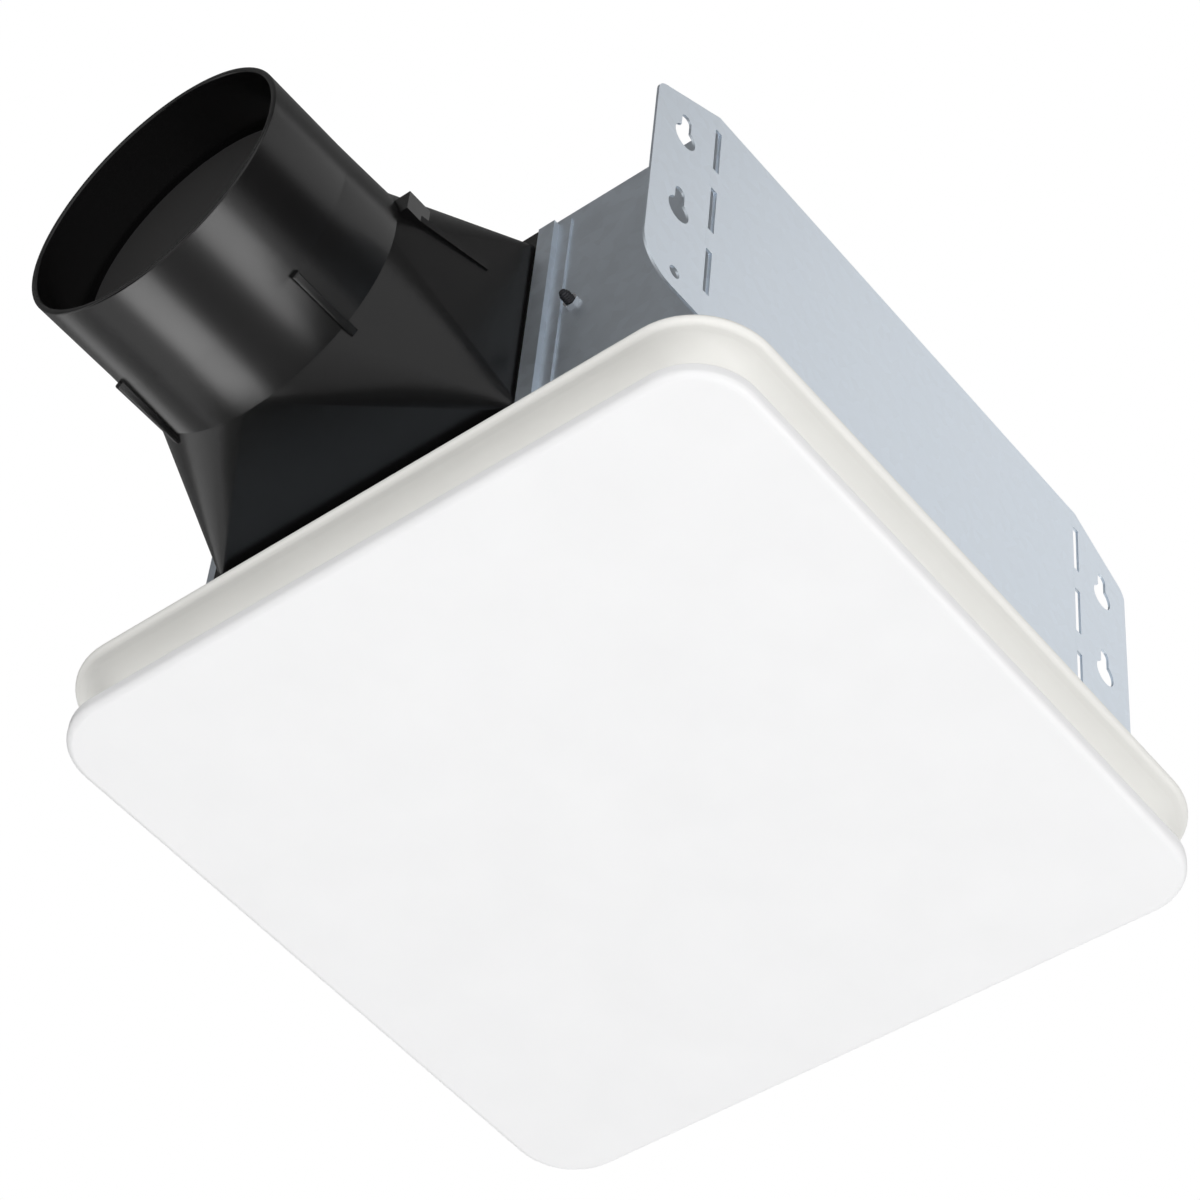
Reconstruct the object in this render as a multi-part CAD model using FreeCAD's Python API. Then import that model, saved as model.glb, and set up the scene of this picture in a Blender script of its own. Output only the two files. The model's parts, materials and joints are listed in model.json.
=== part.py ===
import FreeCAD, Part
import math
import os

# Ceiling exhaust fan with a side duct outlet, in millimetres.
# Z is up as installed. The origin is the centre of the housing mouth, in the ceiling plane.
# The duct leaves towards -X, the plate with the two fold-out ears is on the -Y side.

# Housing shell
HOUSING_LENGTH = 202.4
HOUSING_WIDTH = 208.2
HOUSING_HEIGHT = 146.0
SHEET = 0.9
BEND_RADIUS = 2.0
MOUTH_FLANGE = 14.0

# Fold-out ears and their perforated fold lines
EAR_LENGTH = 30.1
EAR_TOP_DROP = 15.0
EAR_BOTTOM = 39.0
EAR_TOP_RADIUS = 6.0
EAR_BOTTOM_RADIUS = 14.0
FOLD_CLEARANCE = 0.3
FOLD_GAP = 0.05
SLOT_COUNT = 3
SLOT_LENGTH = 21.7
SLOT_PITCH = 31.9
SLOT_WIDTH = 3.0
SLOT_TOP_MARGIN = 8.2
KEYHOLE_COUNT = 2
KEYHOLE_OFFSET = 15.7
KEYHOLE_HEIGHT = 78.0
KEYHOLE_PITCH = 38.8
KEYHOLE_RADIUS = 5.0
KEYHOLE_SLOT_WIDTH = 4.6
KEYHOLE_RISE = 8.8
EAR_HOLE_OFFSET = 14.9
EAR_HOLE_HEIGHT = 46.8
EAR_HOLE_RADIUS = 2.4

# Blower scroll: three quarter arcs that grow by one step each, then a straight outlet
WHEEL_X = 6.0
WHEEL_Y = 2.0
WHEEL_RADIUS = 62.0
SCROLL_CUTOFF = 6.0
SCROLL_STEP = 8.0
SCROLL_BOTTOM = 52.0
SCROLL_HEIGHT = 82.0
TONGUE_ANGLE = 206.0
TONGUE_RADIUS = 4.0
OUTLET_FLANGE = 30.0
OUTLET_FLANGE_HEIGHT = 60.0
INLET_RADIUS = 47.5
BELL_RADIUS = 7.0
INLET_FLANGE = 12.0
SCROLL_TAB = 12.0
SEAT_CLEARANCE = 0.3

# Blower wheel
WHEEL_CLEARANCE = 6.0
BLADE_COUNT = 36
BLADE_DEPTH = 10.5
BLADE_SWEEP_ANGLE = 8.0
BLADE_BOW_ANGLE = 3.2
BLADE_THICKNESS = 1.0
WHEEL_WALL = 1.6
WHEEL_RING = 4.0
CUP_RADIUS = 39.5
CUP_FLOOR_RADIUS = 36.0
HUB_RADIUS = 7.5
HUB_LENGTH = 12.0
CLIP_THICKNESS = 1.0

# Motor
MOTOR_RADIUS = 33.0
BELL_INSET = 2.0
BELL_WALL = 2.5
UPPER_BELL_HEIGHT = 12.0
LOWER_BELL_HEIGHT = 10.0
CORE_HEIGHT = 18.0
ROTOR_RADIUS = 17.6
ROTOR_GAP = 0.4
WINDING_INNER = 20.5
WINDING_OUTER = 27.0
END_TURN_HEIGHT = 6.0
POLE_COUNT = 4
POLE_SLOT_ANGLE = 40.0
SHAFT_RADIUS = 3.0
BEARING_RADIUS = 6.0
BEARING_LENGTH = 8.0
BEARING_CLEARANCE = 0.03
BEARING_BOSS_WALL = 2.5
FLOOR_CLEARANCE = 2.5
STUD_COUNT = 3
STUD_CIRCLE_RADIUS = 20.0
STUD_RADIUS = 2.0
STUD_HEAD_RADIUS = 3.2
STUD_HEAD = 2.0
STUD_END = 1.5
GROMMET_RADIUS = 6.5
GROMMET_NECK = 4.5
GROMMET_FLANGE = 2.4
NUT_RADIUS = 4.0
NUT_HEIGHT = 3.2
PLATE_FOOT = 7.0
PLATE_SIDE_GAP = 1.5

# Duct connector
BASE_FLANGE_THICKNESS = 2.5
BASE_FLANGE_RIM = 7.0
BASE_FLANGE_EDGE = 5.0
BASE_FLANGE_LIP = 1.5
TRANSITION_LENGTH = 51.3
COLLAR_LENGTH = 57.5
COLLAR_RADIUS = 51.5
CONNECTOR_WALL = 2.0
BASE_CORNER_RADIUS = 4.0
APEX_ANGLE = 8.0
COLLAR_TAPER = 24.0
COLLAR_TAPER_RISE = 0.7
RIM_ROUND = 0.7
FIN_THICKNESS = 3.0
FIN_HEIGHT = 2.4
FIN_ROUND = 0.7
FIN_OVERHANG = 4.0
FIN_ANGLE = 45.0
LATCH_LENGTH = 31.0
LATCH_RISE = 12.0
LATCH_HEIGHT = 1.3
LATCH_END_HEIGHT = 0.5
LATCH_ROOT = 6.0
LATCH_BLOCK_LEAD = 3.0
LATCH_BLOCK_LENGTH = 10.0
LATCH_BLOCK_WIDTH = 9.0
LATCH_BLOCK_HEIGHT = 2.0

# Backdraft damper
DAMPER_DEPTH = 23.0
DAMPER_RADIUS = 46.2
DAMPER_THICKNESS = 1.6
DAMPER_PIN_RISE = 14.0
DAMPER_PIN_RADIUS = 1.2
DAMPER_PIN_CLEARANCE = 0.06
DAMPER_BARREL_RADIUS = 2.6
DAMPER_WEB = 2.0
DAMPER_SIDE_CLEARANCE = 0.4
PIVOT_BOSS_RADIUS = 3.0
PIVOT_BOSS_REACH = 4.6
PIVOT_CLEARANCE = 0.6
STOP_DEPTH = 4.0
STOP_WIDTH = 2.0
STOP_ANGLE = 110.0

# Rail that holds the connector's front edge, and the screws through the duct wall
RAIL_FOOT = 6.0
RAIL_LIP = 5.5
RAIL_MARGIN = 5.5
SCREW_RADIUS = 2.0
SCREW_HEAD_RADIUS = 3.2
SCREW_CLEARANCE = 0.15
SCREW_HEAD = 2.4
SCREW_TIP = 6.0
SHORT_TIP = 3.0
WALL_SCREW_OFFSET = 20.2
WALL_SCREW_HEIGHT = 91.0
WALL_NUT_RADIUS = 3.0
WALL_NUT_HEIGHT = 1.8
CONNECTOR_SCREW_COUNT = 2
CONNECTOR_SCREW_PITCH = 36.0
CONNECTOR_SCREW_RISE = 15.0
CONNECTOR_SCREW_MARGIN = 8.0

# Wiring box in the front corner behind the far wall
BOX_LENGTH = 90.0
BOX_DEPTH = 24.0
BOX_HEIGHT = 53.0
COVER_TAB_HEIGHT = 24.0
EAR_SCREW_GAP = 2.3
SCREW_EDGE = 5.5
KNOCKOUT_RADIUS = 11.0
KNOCKOUT_CLEARANCE = 0.05
GROUND_SCREW_DROP = 4.2
RECEPTACLE_LENGTH = 26.0
RECEPTACLE_WIDTH = 15.0
RECEPTACLE_HEIGHT = 18.0
RECEPTACLE_LIP = 2.0
RECEPTACLE_CLEARANCE = 0.2
CONTACT_SLOT_LENGTH = 6.5
CONTACT_SLOT_WIDTH = 1.8
CONTACT_SLOT_DEPTH = 9.0
CONTACT_SPACING = 12.0

# Grille: scooped frame at the ceiling, flat panel below it
FRAME_LENGTH = 266.4
FRAME_WIDTH = 269.8
FRAME_CORNER = 27.0
FRAME_RIM = 4.0
FRAME_RIM_LAND = 4.0
COVE_RADIUS = 11.5
FRAME_WALL = 2.2
PANEL_LENGTH = 261.4
PANEL_WIDTH = 265.4
PANEL_CORNER = 22.0
PANEL_FACE_DEPTH = 27.3
PANEL_THICKNESS = 5.5
PANEL_FACE_ROUND = 2.4
PANEL_BACK_ROUND = 0.8
BAR_WIDTH = 14.0
BAR_THICKNESS = 3.0
BAR_INSET = 7.0
POST_SPACING = 160.0
POST_RADIUS = 4.0
POST_PIN_RADIUS = 2.4
POST_PIN_CLEARANCE = 0.2
POST_HEAD_RADIUS = 3.4
POST_HEAD_HEIGHT = 2.5
STANDOFF_SPACING = 120.0
STANDOFF_LENGTH = 8.0
STANDOFF_WIDTH = 2.5

# Torsion springs that hold the grille up
WIRE_RADIUS = 0.9
COIL_RADIUS = 4.6
COIL_TURNS = 2
COIL_PITCH = 2.6
LEG_ANGLE = 35.0
LEG_LENGTH = 62.0
LEG_BEND = 3.0
LEG_HOOK = 6.0
PEG_CLEARANCE = 0.3
PEG_WALL = 1.5
LEG_SLOT_LENGTH = 9.0
LEG_SLOT_SIDE = 0.8

V = FreeCAD.Vector

# Places worked out from the sizes above
HALF_LENGTH = HOUSING_LENGTH / 2
HALF_WIDTH = HOUSING_WIDTH / 2
INNER_LENGTH = HALF_LENGTH - SHEET
INNER_WIDTH = HALF_WIDTH - SHEET
TOP_INSIDE = HOUSING_HEIGHT - SHEET
FOLD_X = HALF_LENGTH + FOLD_CLEARANCE + SHEET / 2
FOLD_Y = SHEET / 2 - HALF_WIDTH

SCROLL_TOP = SCROLL_BOTTOM + SCROLL_HEIGHT
SCROLL_R1 = WHEEL_RADIUS + SCROLL_CUTOFF
SCROLL_R2 = SCROLL_R1 + SCROLL_STEP
SCROLL_R3 = SCROLL_R2 + SCROLL_STEP
OUTLET_FRONT = WHEEL_Y + SCROLL_R1 * math.sin(math.radians(TONGUE_ANGLE))
OUTLET_BACK = WHEEL_Y + SCROLL_STEP + SCROLL_R3
DUCT_Y = (OUTLET_FRONT + OUTLET_BACK) / 2
DUCT_Z = SCROLL_BOTTOM + SCROLL_HEIGHT / 2
BASE_X = -HALF_LENGTH - BASE_FLANGE_THICKNESS
COLLAR_X = BASE_X - TRANSITION_LENGTH
RIM_X = COLLAR_X - COLLAR_LENGTH
STOP_X = COLLAR_X - COLLAR_TAPER
LATCH_X = COLLAR_X + FIN_OVERHANG
COLLAR_BORE = COLLAR_RADIUS - CONNECTOR_WALL
BASE_FRONT = OUTLET_FRONT - CONNECTOR_WALL
BASE_BACK = OUTLET_BACK + CONNECTOR_WALL
BASE_LOW = SCROLL_BOTTOM - CONNECTOR_WALL
BASE_HIGH = SCROLL_TOP + CONNECTOR_WALL
FLANGE_FRONT = BASE_FRONT - BASE_FLANGE_RIM
FLANGE_LOW = BASE_LOW - BASE_FLANGE_EDGE
FLANGE_HIGH = BASE_HIGH + BASE_FLANGE_EDGE
CONNECTOR_SCREW_Y = (BASE_BACK + INNER_WIDTH) / 2
WALL_SCREW_Y = OUTLET_FRONT - WALL_SCREW_OFFSET
RAIL_STEP = FLANGE_FRONT - SEAT_CLEARANCE
FLAP_X = RIM_X + DAMPER_DEPTH
DAMPER_X = FLAP_X + DAMPER_THICKNESS / 2 + PIVOT_BOSS_RADIUS + PIVOT_CLEARANCE
DAMPER_PIN_Z = DUCT_Z + DAMPER_PIN_RISE

WHEEL_BOTTOM = SCROLL_BOTTOM + WHEEL_CLEARANCE
WHEEL_TOP = SCROLL_TOP - WHEEL_CLEARANCE
BLADE_INNER = WHEEL_RADIUS - BLADE_DEPTH
MOTOR_TOP = SCROLL_TOP - GROMMET_FLANGE
CORE_TOP = MOTOR_TOP - UPPER_BELL_HEIGHT
CORE_BOTTOM = CORE_TOP - CORE_HEIGHT
MOTOR_BOTTOM = CORE_BOTTOM - LOWER_BELL_HEIGHT
BELL_OUTER = MOTOR_RADIUS - BELL_INSET
CUP_FLOOR = MOTOR_BOTTOM - FLOOR_CLEARANCE
HUB_BOTTOM = CUP_FLOOR - HUB_LENGTH
SHAFT_BOTTOM = HUB_BOTTOM - 2 * CLIP_THICKNESS
GROMMET_TOP = SCROLL_TOP + SHEET + GROMMET_FLANGE

BOX_Y = BOX_DEPTH - INNER_WIDTH
BOX_Z = TOP_INSIDE - BOX_HEIGHT
BOX_X = INNER_LENGTH - BOX_LENGTH
BOX_MIDDLE = (BOX_Y - INNER_WIDTH) / 2
KNOCKOUT_Z = BOX_Z + BOX_HEIGHT / 2
COVER_SCREW_Y = FOLD_Y + EAR_LENGTH + EAR_SCREW_GAP + SCREW_RADIUS
COVER_SCREW_Z = BOX_Z + COVER_TAB_HEIGHT / 2
GROUND_SCREW_Y = BOX_Y - SHEET - SCREW_HEAD_RADIUS - SEAT_CLEARANCE
GROUND_SCREW_Z = TOP_INSIDE - GROUND_SCREW_DROP

BAR_Y = HALF_WIDTH - BAR_INSET
NECK_DEPTH = FRAME_RIM_LAND + COVE_RADIUS
NECK_BOTTOM = -FRAME_RIM - COVE_RADIUS
PANEL_BACK = PANEL_THICKNESS - PANEL_FACE_DEPTH
BAR_TOP = NECK_BOTTOM + BAR_THICKNESS
FRAME_INNER_X = FRAME_LENGTH / 2 - NECK_DEPTH - FRAME_WALL
LEG_SLOPE = math.tan(math.radians(LEG_ANGLE))
COIL_Z = BAR_TOP + COIL_RADIUS + WIRE_RADIUS + SEAT_CLEARANCE
COIL_ANGLE = 180.0 - 2 * LEG_ANGLE + 360.0 * COIL_TURNS
COIL_LENGTH = COIL_PITCH * COIL_ANGLE / 360.0
LEG_X = COIL_RADIUS * math.cos(math.radians(LEG_ANGLE))
LEG_Z = COIL_Z - COIL_RADIUS * math.sin(math.radians(LEG_ANGLE))
CUT_MARGIN = 2.0
TOLERANCE = 0.01


def box(x0, x1, y0, y1, z0, z1):
    """Block between two opposite corners, given in any order."""
    low = V(min(x0, x1), min(y0, y1), min(z0, z1))
    return Part.makeBox(abs(x1 - x0), abs(y1 - y0), abs(z1 - z0), low)


def rod(radius, start, end):
    """Round bar between two points."""
    return Part.makeCylinder(radius, (end - start).Length, start, end - start)


def tube(outer, inner, start, end):
    """Round tube between two points."""
    return rod(outer, start, end).cut(rod(inner, start, end))


def ring(outer, inner, x, y, z0, z1):
    """Upright tube about a vertical axis."""
    return tube(outer, inner, V(x, y, z0), V(x, y, z1))


def polar(radius, degrees, x=0.0, y=0.0, z=0.0):
    """Point on a horizontal circle."""
    angle = math.radians(degrees)
    return V(x + radius * math.cos(angle), y + radius * math.sin(angle), z)


def fuse_all(shapes):
    """One solid out of pieces that share volume."""
    return shapes[0].multiFuse(shapes[1:]).removeSplitter()


def rounded_wire(points, radii):
    """Closed outline of straight runs whose corners have the given radii."""
    runs = []
    arcs = []
    for i, corner in enumerate(points):
        before = (points[i - 1] - corner).normalize()
        after = (points[(i + 1) % len(points)] - corner).normalize()
        half = before.getAngle(after) / 2
        setback = radii[i] / math.tan(half)
        middle = (before + after).normalize() * (radii[i] / math.sin(half) - radii[i])
        runs.append((corner + before * setback, corner + after * setback))
        arcs.append(corner + middle)
    edges = []
    for i, (start, end) in enumerate(runs):
        if radii[i] > 0:
            edges.append(Part.Arc(start, arcs[i], end).toShape())
        following = runs[(i + 1) % len(runs)][0]
        if (following - end).Length > TOLERANCE:
            edges.append(Part.LineSegment(end, following).toShape())
    return Part.Wire(edges)


def rounded_rectangle(length, width, radius, z):
    """Closed outline centred on the Z axis, at height z."""
    x = length / 2
    y = width / 2
    points = [V(-x, -y, z), V(x, -y, z), V(x, y, z), V(-x, y, z)]
    return rounded_wire(points, [radius] * 4)


def bent_sheet(points, along):
    """Sheet whose one side follows the points of a profile, extruded by a vector."""
    normal = V(along).normalize()
    sides = []
    for start, end in zip(points, points[1:]):
        sides.append((end - start).normalize().cross(normal))
    offset = [points[0] + sides[0] * SHEET]
    for point, before, after in zip(points[1:], sides, sides[1:]):
        offset.append(point + (before + after) * (SHEET / (1 + before.dot(after))))
    offset.append(points[-1] + sides[-1] * SHEET)
    outline = Part.makePolygon(points + offset[::-1] + points[:1])
    return Part.Face(outline).extrude(along)


def screw(seat, direction, length):
    """Pan-head screw: the head stands on the seat, the shank runs along the direction."""
    head = rod(SCREW_HEAD_RADIUS, seat, seat - direction * SCREW_HEAD)
    crown = [edge for edge in head.Edges if (edge.CenterOfMass - seat).Length > SCREW_HEAD / 2]
    rims = [edge for edge in crown if isinstance(edge.Curve, Part.Circle)]
    head = head.makeFillet(SCREW_HEAD / 2, rims)
    shank = rod(SCREW_RADIUS, seat, seat + direction * length)
    return head.fuse(shank)


def screw_hole(seat, direction, length):
    """Clearance hole for a screw."""
    return rod(SCREW_RADIUS + SCREW_CLEARANCE, seat - direction * CUT_MARGIN, seat + direction * length)


def hex_nut(seat, direction, radius, bore, height):
    """Hexagon nut standing on its seat, with its axis square to Y."""
    corners = []
    for i in range(6):
        turn = FreeCAD.Rotation(direction, 60.0 * i)
        corners.append(seat + turn.multVec(V(0, radius, 0)))
    nut = Part.Face(Part.makePolygon(corners + corners[:1])).extrude(direction * height)
    return nut.cut(rod(bore, seat - direction * CUT_MARGIN, seat + direction * (height + CUT_MARGIN)))


def wall_screw_seat():
    """Inside face of the scroll's outlet flange, where the visible screw starts."""
    return V(SHEET - INNER_LENGTH, WALL_SCREW_Y, WALL_SCREW_HEIGHT)


def cover_screw_seat():
    """Seat on the cover's tab, beside the place that the folded ear covers on the outside."""
    return V(INNER_LENGTH - SHEET, COVER_SCREW_Y, COVER_SCREW_Z)


def ground_screw_seat():
    """Seat on the far wall in the top corner of the wiring box, above the folded ear's slanted edge."""
    return V(INNER_LENGTH, GROUND_SCREW_Y, GROUND_SCREW_Z)


def connector_screw_seats():
    """Seats on the outside of the connector's base flange, along its rear edge."""
    seats = []
    for i in range(CONNECTOR_SCREW_COUNT):
        rise = (i - (CONNECTOR_SCREW_COUNT - 1) / 2) * CONNECTOR_SCREW_PITCH
        seats.append(V(BASE_X, CONNECTOR_SCREW_Y, DUCT_Z + CONNECTOR_SCREW_RISE + rise))
    return seats


def housing_wrap():
    """Duct wall, top and far wall bent from one sheet."""
    def outline(half, height, radius):
        y = -INNER_WIDTH
        points = [V(-half, y, 0), V(half, y, 0), V(half, y, height), V(-half, y, height)]
        return Part.Face(rounded_wire(points, [0, 0, radius, radius]))

    outside = outline(HALF_LENGTH, HOUSING_HEIGHT, BEND_RADIUS)
    inside = outline(INNER_LENGTH, TOP_INSIDE, BEND_RADIUS - SHEET)
    wrap = outside.cut(inside).extrude(V(0, 2 * INNER_WIDTH, 0))
    wrap = wrap.cut(box(-HALF_LENGTH - CUT_MARGIN, CUT_MARGIN - INNER_LENGTH,
                        OUTLET_FRONT, OUTLET_BACK, SCROLL_BOTTOM, SCROLL_TOP))
    out = V(1, 0, 0)
    wrap = wrap.cut(screw_hole(wall_screw_seat(), -out, SHEET + CUT_MARGIN))
    for seat in connector_screw_seats():
        wrap = wrap.cut(screw_hole(seat, out, BASE_FLANGE_THICKNESS + SHEET + CUT_MARGIN))
    for seat in (cover_screw_seat(), ground_screw_seat()):
        wrap = wrap.cut(screw_hole(seat, out, 2 * SHEET + CUT_MARGIN))
    return wrap.cut(knockout_disc(KNOCKOUT_RADIUS + KNOCKOUT_CLEARANCE, CUT_MARGIN))


def slot_spans():
    """Lower and upper ends of the perforation slots on a fold line."""
    spans = []
    for i in range(SLOT_COUNT):
        top = HOUSING_HEIGHT - SLOT_TOP_MARGIN - i * SLOT_PITCH
        spans.append((top - SLOT_LENGTH, top))
    return spans


def leg_slots(side):
    """Slots in a mouth flange for the two legs of a grille spring."""
    reach = WIRE_RADIUS / math.cos(math.radians(LEG_ANGLE)) + LEG_SLOPE * SHEET / 2 + SEAT_CLEARANCE
    outer = LEG_X + (SHEET / 2 - LEG_Z) * LEG_SLOPE + reach
    half = WIRE_RADIUS + LEG_SLOT_SIDE
    slots = []
    for hand in (-1, 1):
        y = side * BAR_Y + hand * COIL_LENGTH / 2
        slots.append(box(hand * (outer - LEG_SLOT_LENGTH), hand * outer, y - half, y + half,
                         -CUT_MARGIN, SHEET + CUT_MARGIN))
    return slots


def side_plate(side, half_length):
    """Flat side sheet with the mouth flange turned in at its lower edge."""
    sheet = box(-half_length, half_length, side * INNER_WIDTH, side * HALF_WIDTH, 0, HOUSING_HEIGHT)
    inset = INNER_LENGTH - SEAT_CLEARANCE
    flange = box(-inset, inset, side * INNER_WIDTH, side * (INNER_WIDTH - MOUTH_FLANGE), 0, SHEET)
    return fuse_all([sheet, flange]).cut(Part.makeCompound(leg_slots(side)))


def front_side_plate():
    """Side plate between the two fold lines, with half of each perforation slot."""
    plate = side_plate(-1, FOLD_X - SHEET / 2 - FOLD_GAP)
    for low, high in slot_spans():
        for hand in (-1, 1):
            plate = plate.cut(box(hand * (FOLD_X - SLOT_WIDTH / 2), hand * (FOLD_X + SHEET),
                                  -HALF_WIDTH - CUT_MARGIN, -INNER_WIDTH, low, high))
    return plate


def keyhole(x, z):
    """Keyhole cutter: round hole with a narrower slot above it."""
    near = -HALF_WIDTH - CUT_MARGIN
    far = CUT_MARGIN - INNER_WIDTH
    slot = KEYHOLE_SLOT_WIDTH / 2
    head = rod(KEYHOLE_RADIUS, V(x, near, z), V(x, far, z))
    tip = rod(slot, V(x, near, z + KEYHOLE_RISE), V(x, far, z + KEYHOLE_RISE))
    return fuse_all([head, box(x - slot, x + slot, near, far, z, z + KEYHOLE_RISE), tip])


def ear(hand):
    """Mounting ear that folds on the perforated line; its inner edge is rounded about the fold axis."""
    y = -HALF_WIDTH
    inner = hand * FOLD_X
    outer = hand * (FOLD_X + EAR_LENGTH)
    points = [V(inner, y, EAR_BOTTOM), V(outer, y, EAR_BOTTOM),
              V(outer, y, HOUSING_HEIGHT - EAR_TOP_DROP), V(inner, y, HOUSING_HEIGHT)]
    outline = rounded_wire(points, [0, EAR_BOTTOM_RADIUS, EAR_TOP_RADIUS, 0])
    sheet = Part.Face(outline).extrude(V(0, SHEET, 0))
    roll = rod(SHEET / 2, V(inner, FOLD_Y, EAR_BOTTOM), V(inner, FOLD_Y, HOUSING_HEIGHT))
    shape = fuse_all([sheet, roll])
    for low, high in slot_spans():
        shape = shape.cut(box(hand * (FOLD_X - SHEET), hand * (FOLD_X + SLOT_WIDTH / 2),
                              y - CUT_MARGIN, CUT_MARGIN - INNER_WIDTH, low, high))
    for i in range(KEYHOLE_COUNT):
        shape = shape.cut(keyhole(hand * (FOLD_X + KEYHOLE_OFFSET), KEYHOLE_HEIGHT + i * KEYHOLE_PITCH))
    hole_x = hand * (FOLD_X + EAR_HOLE_OFFSET)
    return shape.cut(rod(EAR_HOLE_RADIUS, V(hole_x, y - CUT_MARGIN, EAR_HOLE_HEIGHT),
                         V(hole_x, CUT_MARGIN - INNER_WIDTH, EAR_HOLE_HEIGHT)))


def connector_rail():
    """Stepped strip that holds the front edge of the connector's base flange."""
    top = HOUSING_HEIGHT - RAIL_MARGIN
    points = [V(-HALF_LENGTH, RAIL_STEP - RAIL_FOOT, top), V(-HALF_LENGTH, RAIL_STEP, top),
              V(BASE_X, RAIL_STEP, top), V(BASE_X, FLANGE_FRONT + RAIL_LIP, top)]
    return bent_sheet(points, V(0, 0, RAIL_MARGIN - top))


def rectangle_wire(x, front, back, low, high, radius):
    """Upright rectangle with rounded corners: its lower edge comes first, from front to back."""
    points = [V(x, front, low), V(x, back, low), V(x, back, high), V(x, front, high)]
    edges = rounded_wire(points, [radius] * 4).Edges
    return Part.Wire(edges[1:] + edges[:1])


def circle_wire(x, radius):
    """Upright circle cut where the flat faces of the transition end: four short arcs, four long ones."""
    def point(degrees):
        angle = math.radians(degrees)
        return V(x, DUCT_Y + radius * math.cos(angle), DUCT_Z + radius * math.sin(angle))

    edges = []
    for quarter in range(4):
        middle = quarter * 90.0 - 90.0
        low = middle - APEX_ANGLE / 2
        high = middle + APEX_ANGLE / 2
        following = middle + 90.0 - APEX_ANGLE / 2
        edges.append(Part.Arc(point(low), point(middle), point(high)).toShape())
        edges.append(Part.Arc(point(high), point(middle + 45.0), point(following)).toShape())
    return Part.Wire(edges)


def transition(offset):
    """Rectangle-to-round form of the connector, drawn in from its outside by an offset."""
    rectangle = rectangle_wire(BASE_X, BASE_FRONT + offset, BASE_BACK - offset, BASE_LOW + offset,
                               BASE_HIGH - offset, BASE_CORNER_RADIUS - offset)
    return Part.makeLoft([rectangle, circle_wire(COLLAR_X, COLLAR_RADIUS - offset)], True, True)


def on_duct_axis(x):
    return V(x, DUCT_Y, DUCT_Z)


def turned(shape, degrees):
    """Copy of a shape turned about the duct axis; it is drawn pointing to -Y and turns downwards."""
    copy = shape.copy()
    copy.rotate(on_duct_axis(0), V(1, 0, 0), degrees)
    return copy


def collar_body():
    """Collar whose inner end widens slightly and stops in a low step."""
    steps = [(RIM_X, COLLAR_RADIUS), (STOP_X, COLLAR_RADIUS), (COLLAR_X, COLLAR_RADIUS + COLLAR_TAPER_RISE)]
    points = [on_duct_axis(RIM_X)]
    points += [on_duct_axis(x) + V(0, 0, radius) for x, radius in steps]
    points += [on_duct_axis(COLLAR_X)]
    profile = Part.Face(Part.makePolygon(points + points[:1]))
    return profile.revolve(on_duct_axis(0), V(1, 0, 0), 360.0)


def fin():
    """Low rib along the widened end of the collar, with its outer edges rounded."""
    half = FIN_THICKNESS / 2
    top = DUCT_Y - COLLAR_RADIUS - FIN_HEIGHT
    rib = box(STOP_X, LATCH_X, top, DUCT_Y - COLLAR_RADIUS + CONNECTOR_WALL, DUCT_Z - half, DUCT_Z + half)
    crown = [edge for edge in rib.Edges if edge.BoundBox.YMax < top + TOLERANCE]
    return rib.makeFillet(FIN_ROUND, crown)


def latch():
    """Low rib along the front face of the transition, with a block at its outer end."""
    slope = (BASE_FRONT - DUCT_Y + COLLAR_RADIUS) / TRANSITION_LENGTH
    end = LATCH_X + LATCH_LENGTH
    start_y = DUCT_Y - COLLAR_RADIUS + slope * FIN_OVERHANG
    end_y = start_y + slope * LATCH_LENGTH
    z = DUCT_Z + LATCH_RISE
    points = [V(LATCH_X, start_y + LATCH_ROOT, z), V(end, end_y + LATCH_ROOT, z),
              V(end, end_y - LATCH_END_HEIGHT, z), V(LATCH_X, start_y - LATCH_HEIGHT, z)]
    rib = Part.Face(Part.makePolygon(points + points[:1])).extrude(V(0, 0, FIN_THICKNESS))
    block_x = LATCH_X - LATCH_BLOCK_LEAD
    block = box(block_x, block_x + LATCH_BLOCK_LENGTH, start_y - LATCH_BLOCK_HEIGHT, start_y + LATCH_ROOT,
                z, z + LATCH_BLOCK_WIDTH)
    return fuse_all([rib, block])


def pin_half_span():
    """Half the bore's width at the height of the damper pin."""
    return math.sqrt(COLLAR_BORE ** 2 - DAMPER_PIN_RISE ** 2)


def pin_point(y):
    return V(DAMPER_X, DUCT_Y + y, DAMPER_PIN_Z)


def pivot_boss(hand):
    """Boss inside the collar with a blind hole for one end of the damper pin."""
    inner = pin_half_span() - PIVOT_BOSS_REACH
    boss = rod(PIVOT_BOSS_RADIUS, pin_point(hand * inner), pin_point(hand * COLLAR_RADIUS))
    within = rod(COLLAR_RADIUS - CONNECTOR_WALL / 2, on_duct_axis(RIM_X), on_duct_axis(COLLAR_X))
    hole = rod(DAMPER_PIN_RADIUS, pin_point(0), pin_point(hand * pin_half_span()))
    return boss.common(within).cut(hole)


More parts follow.
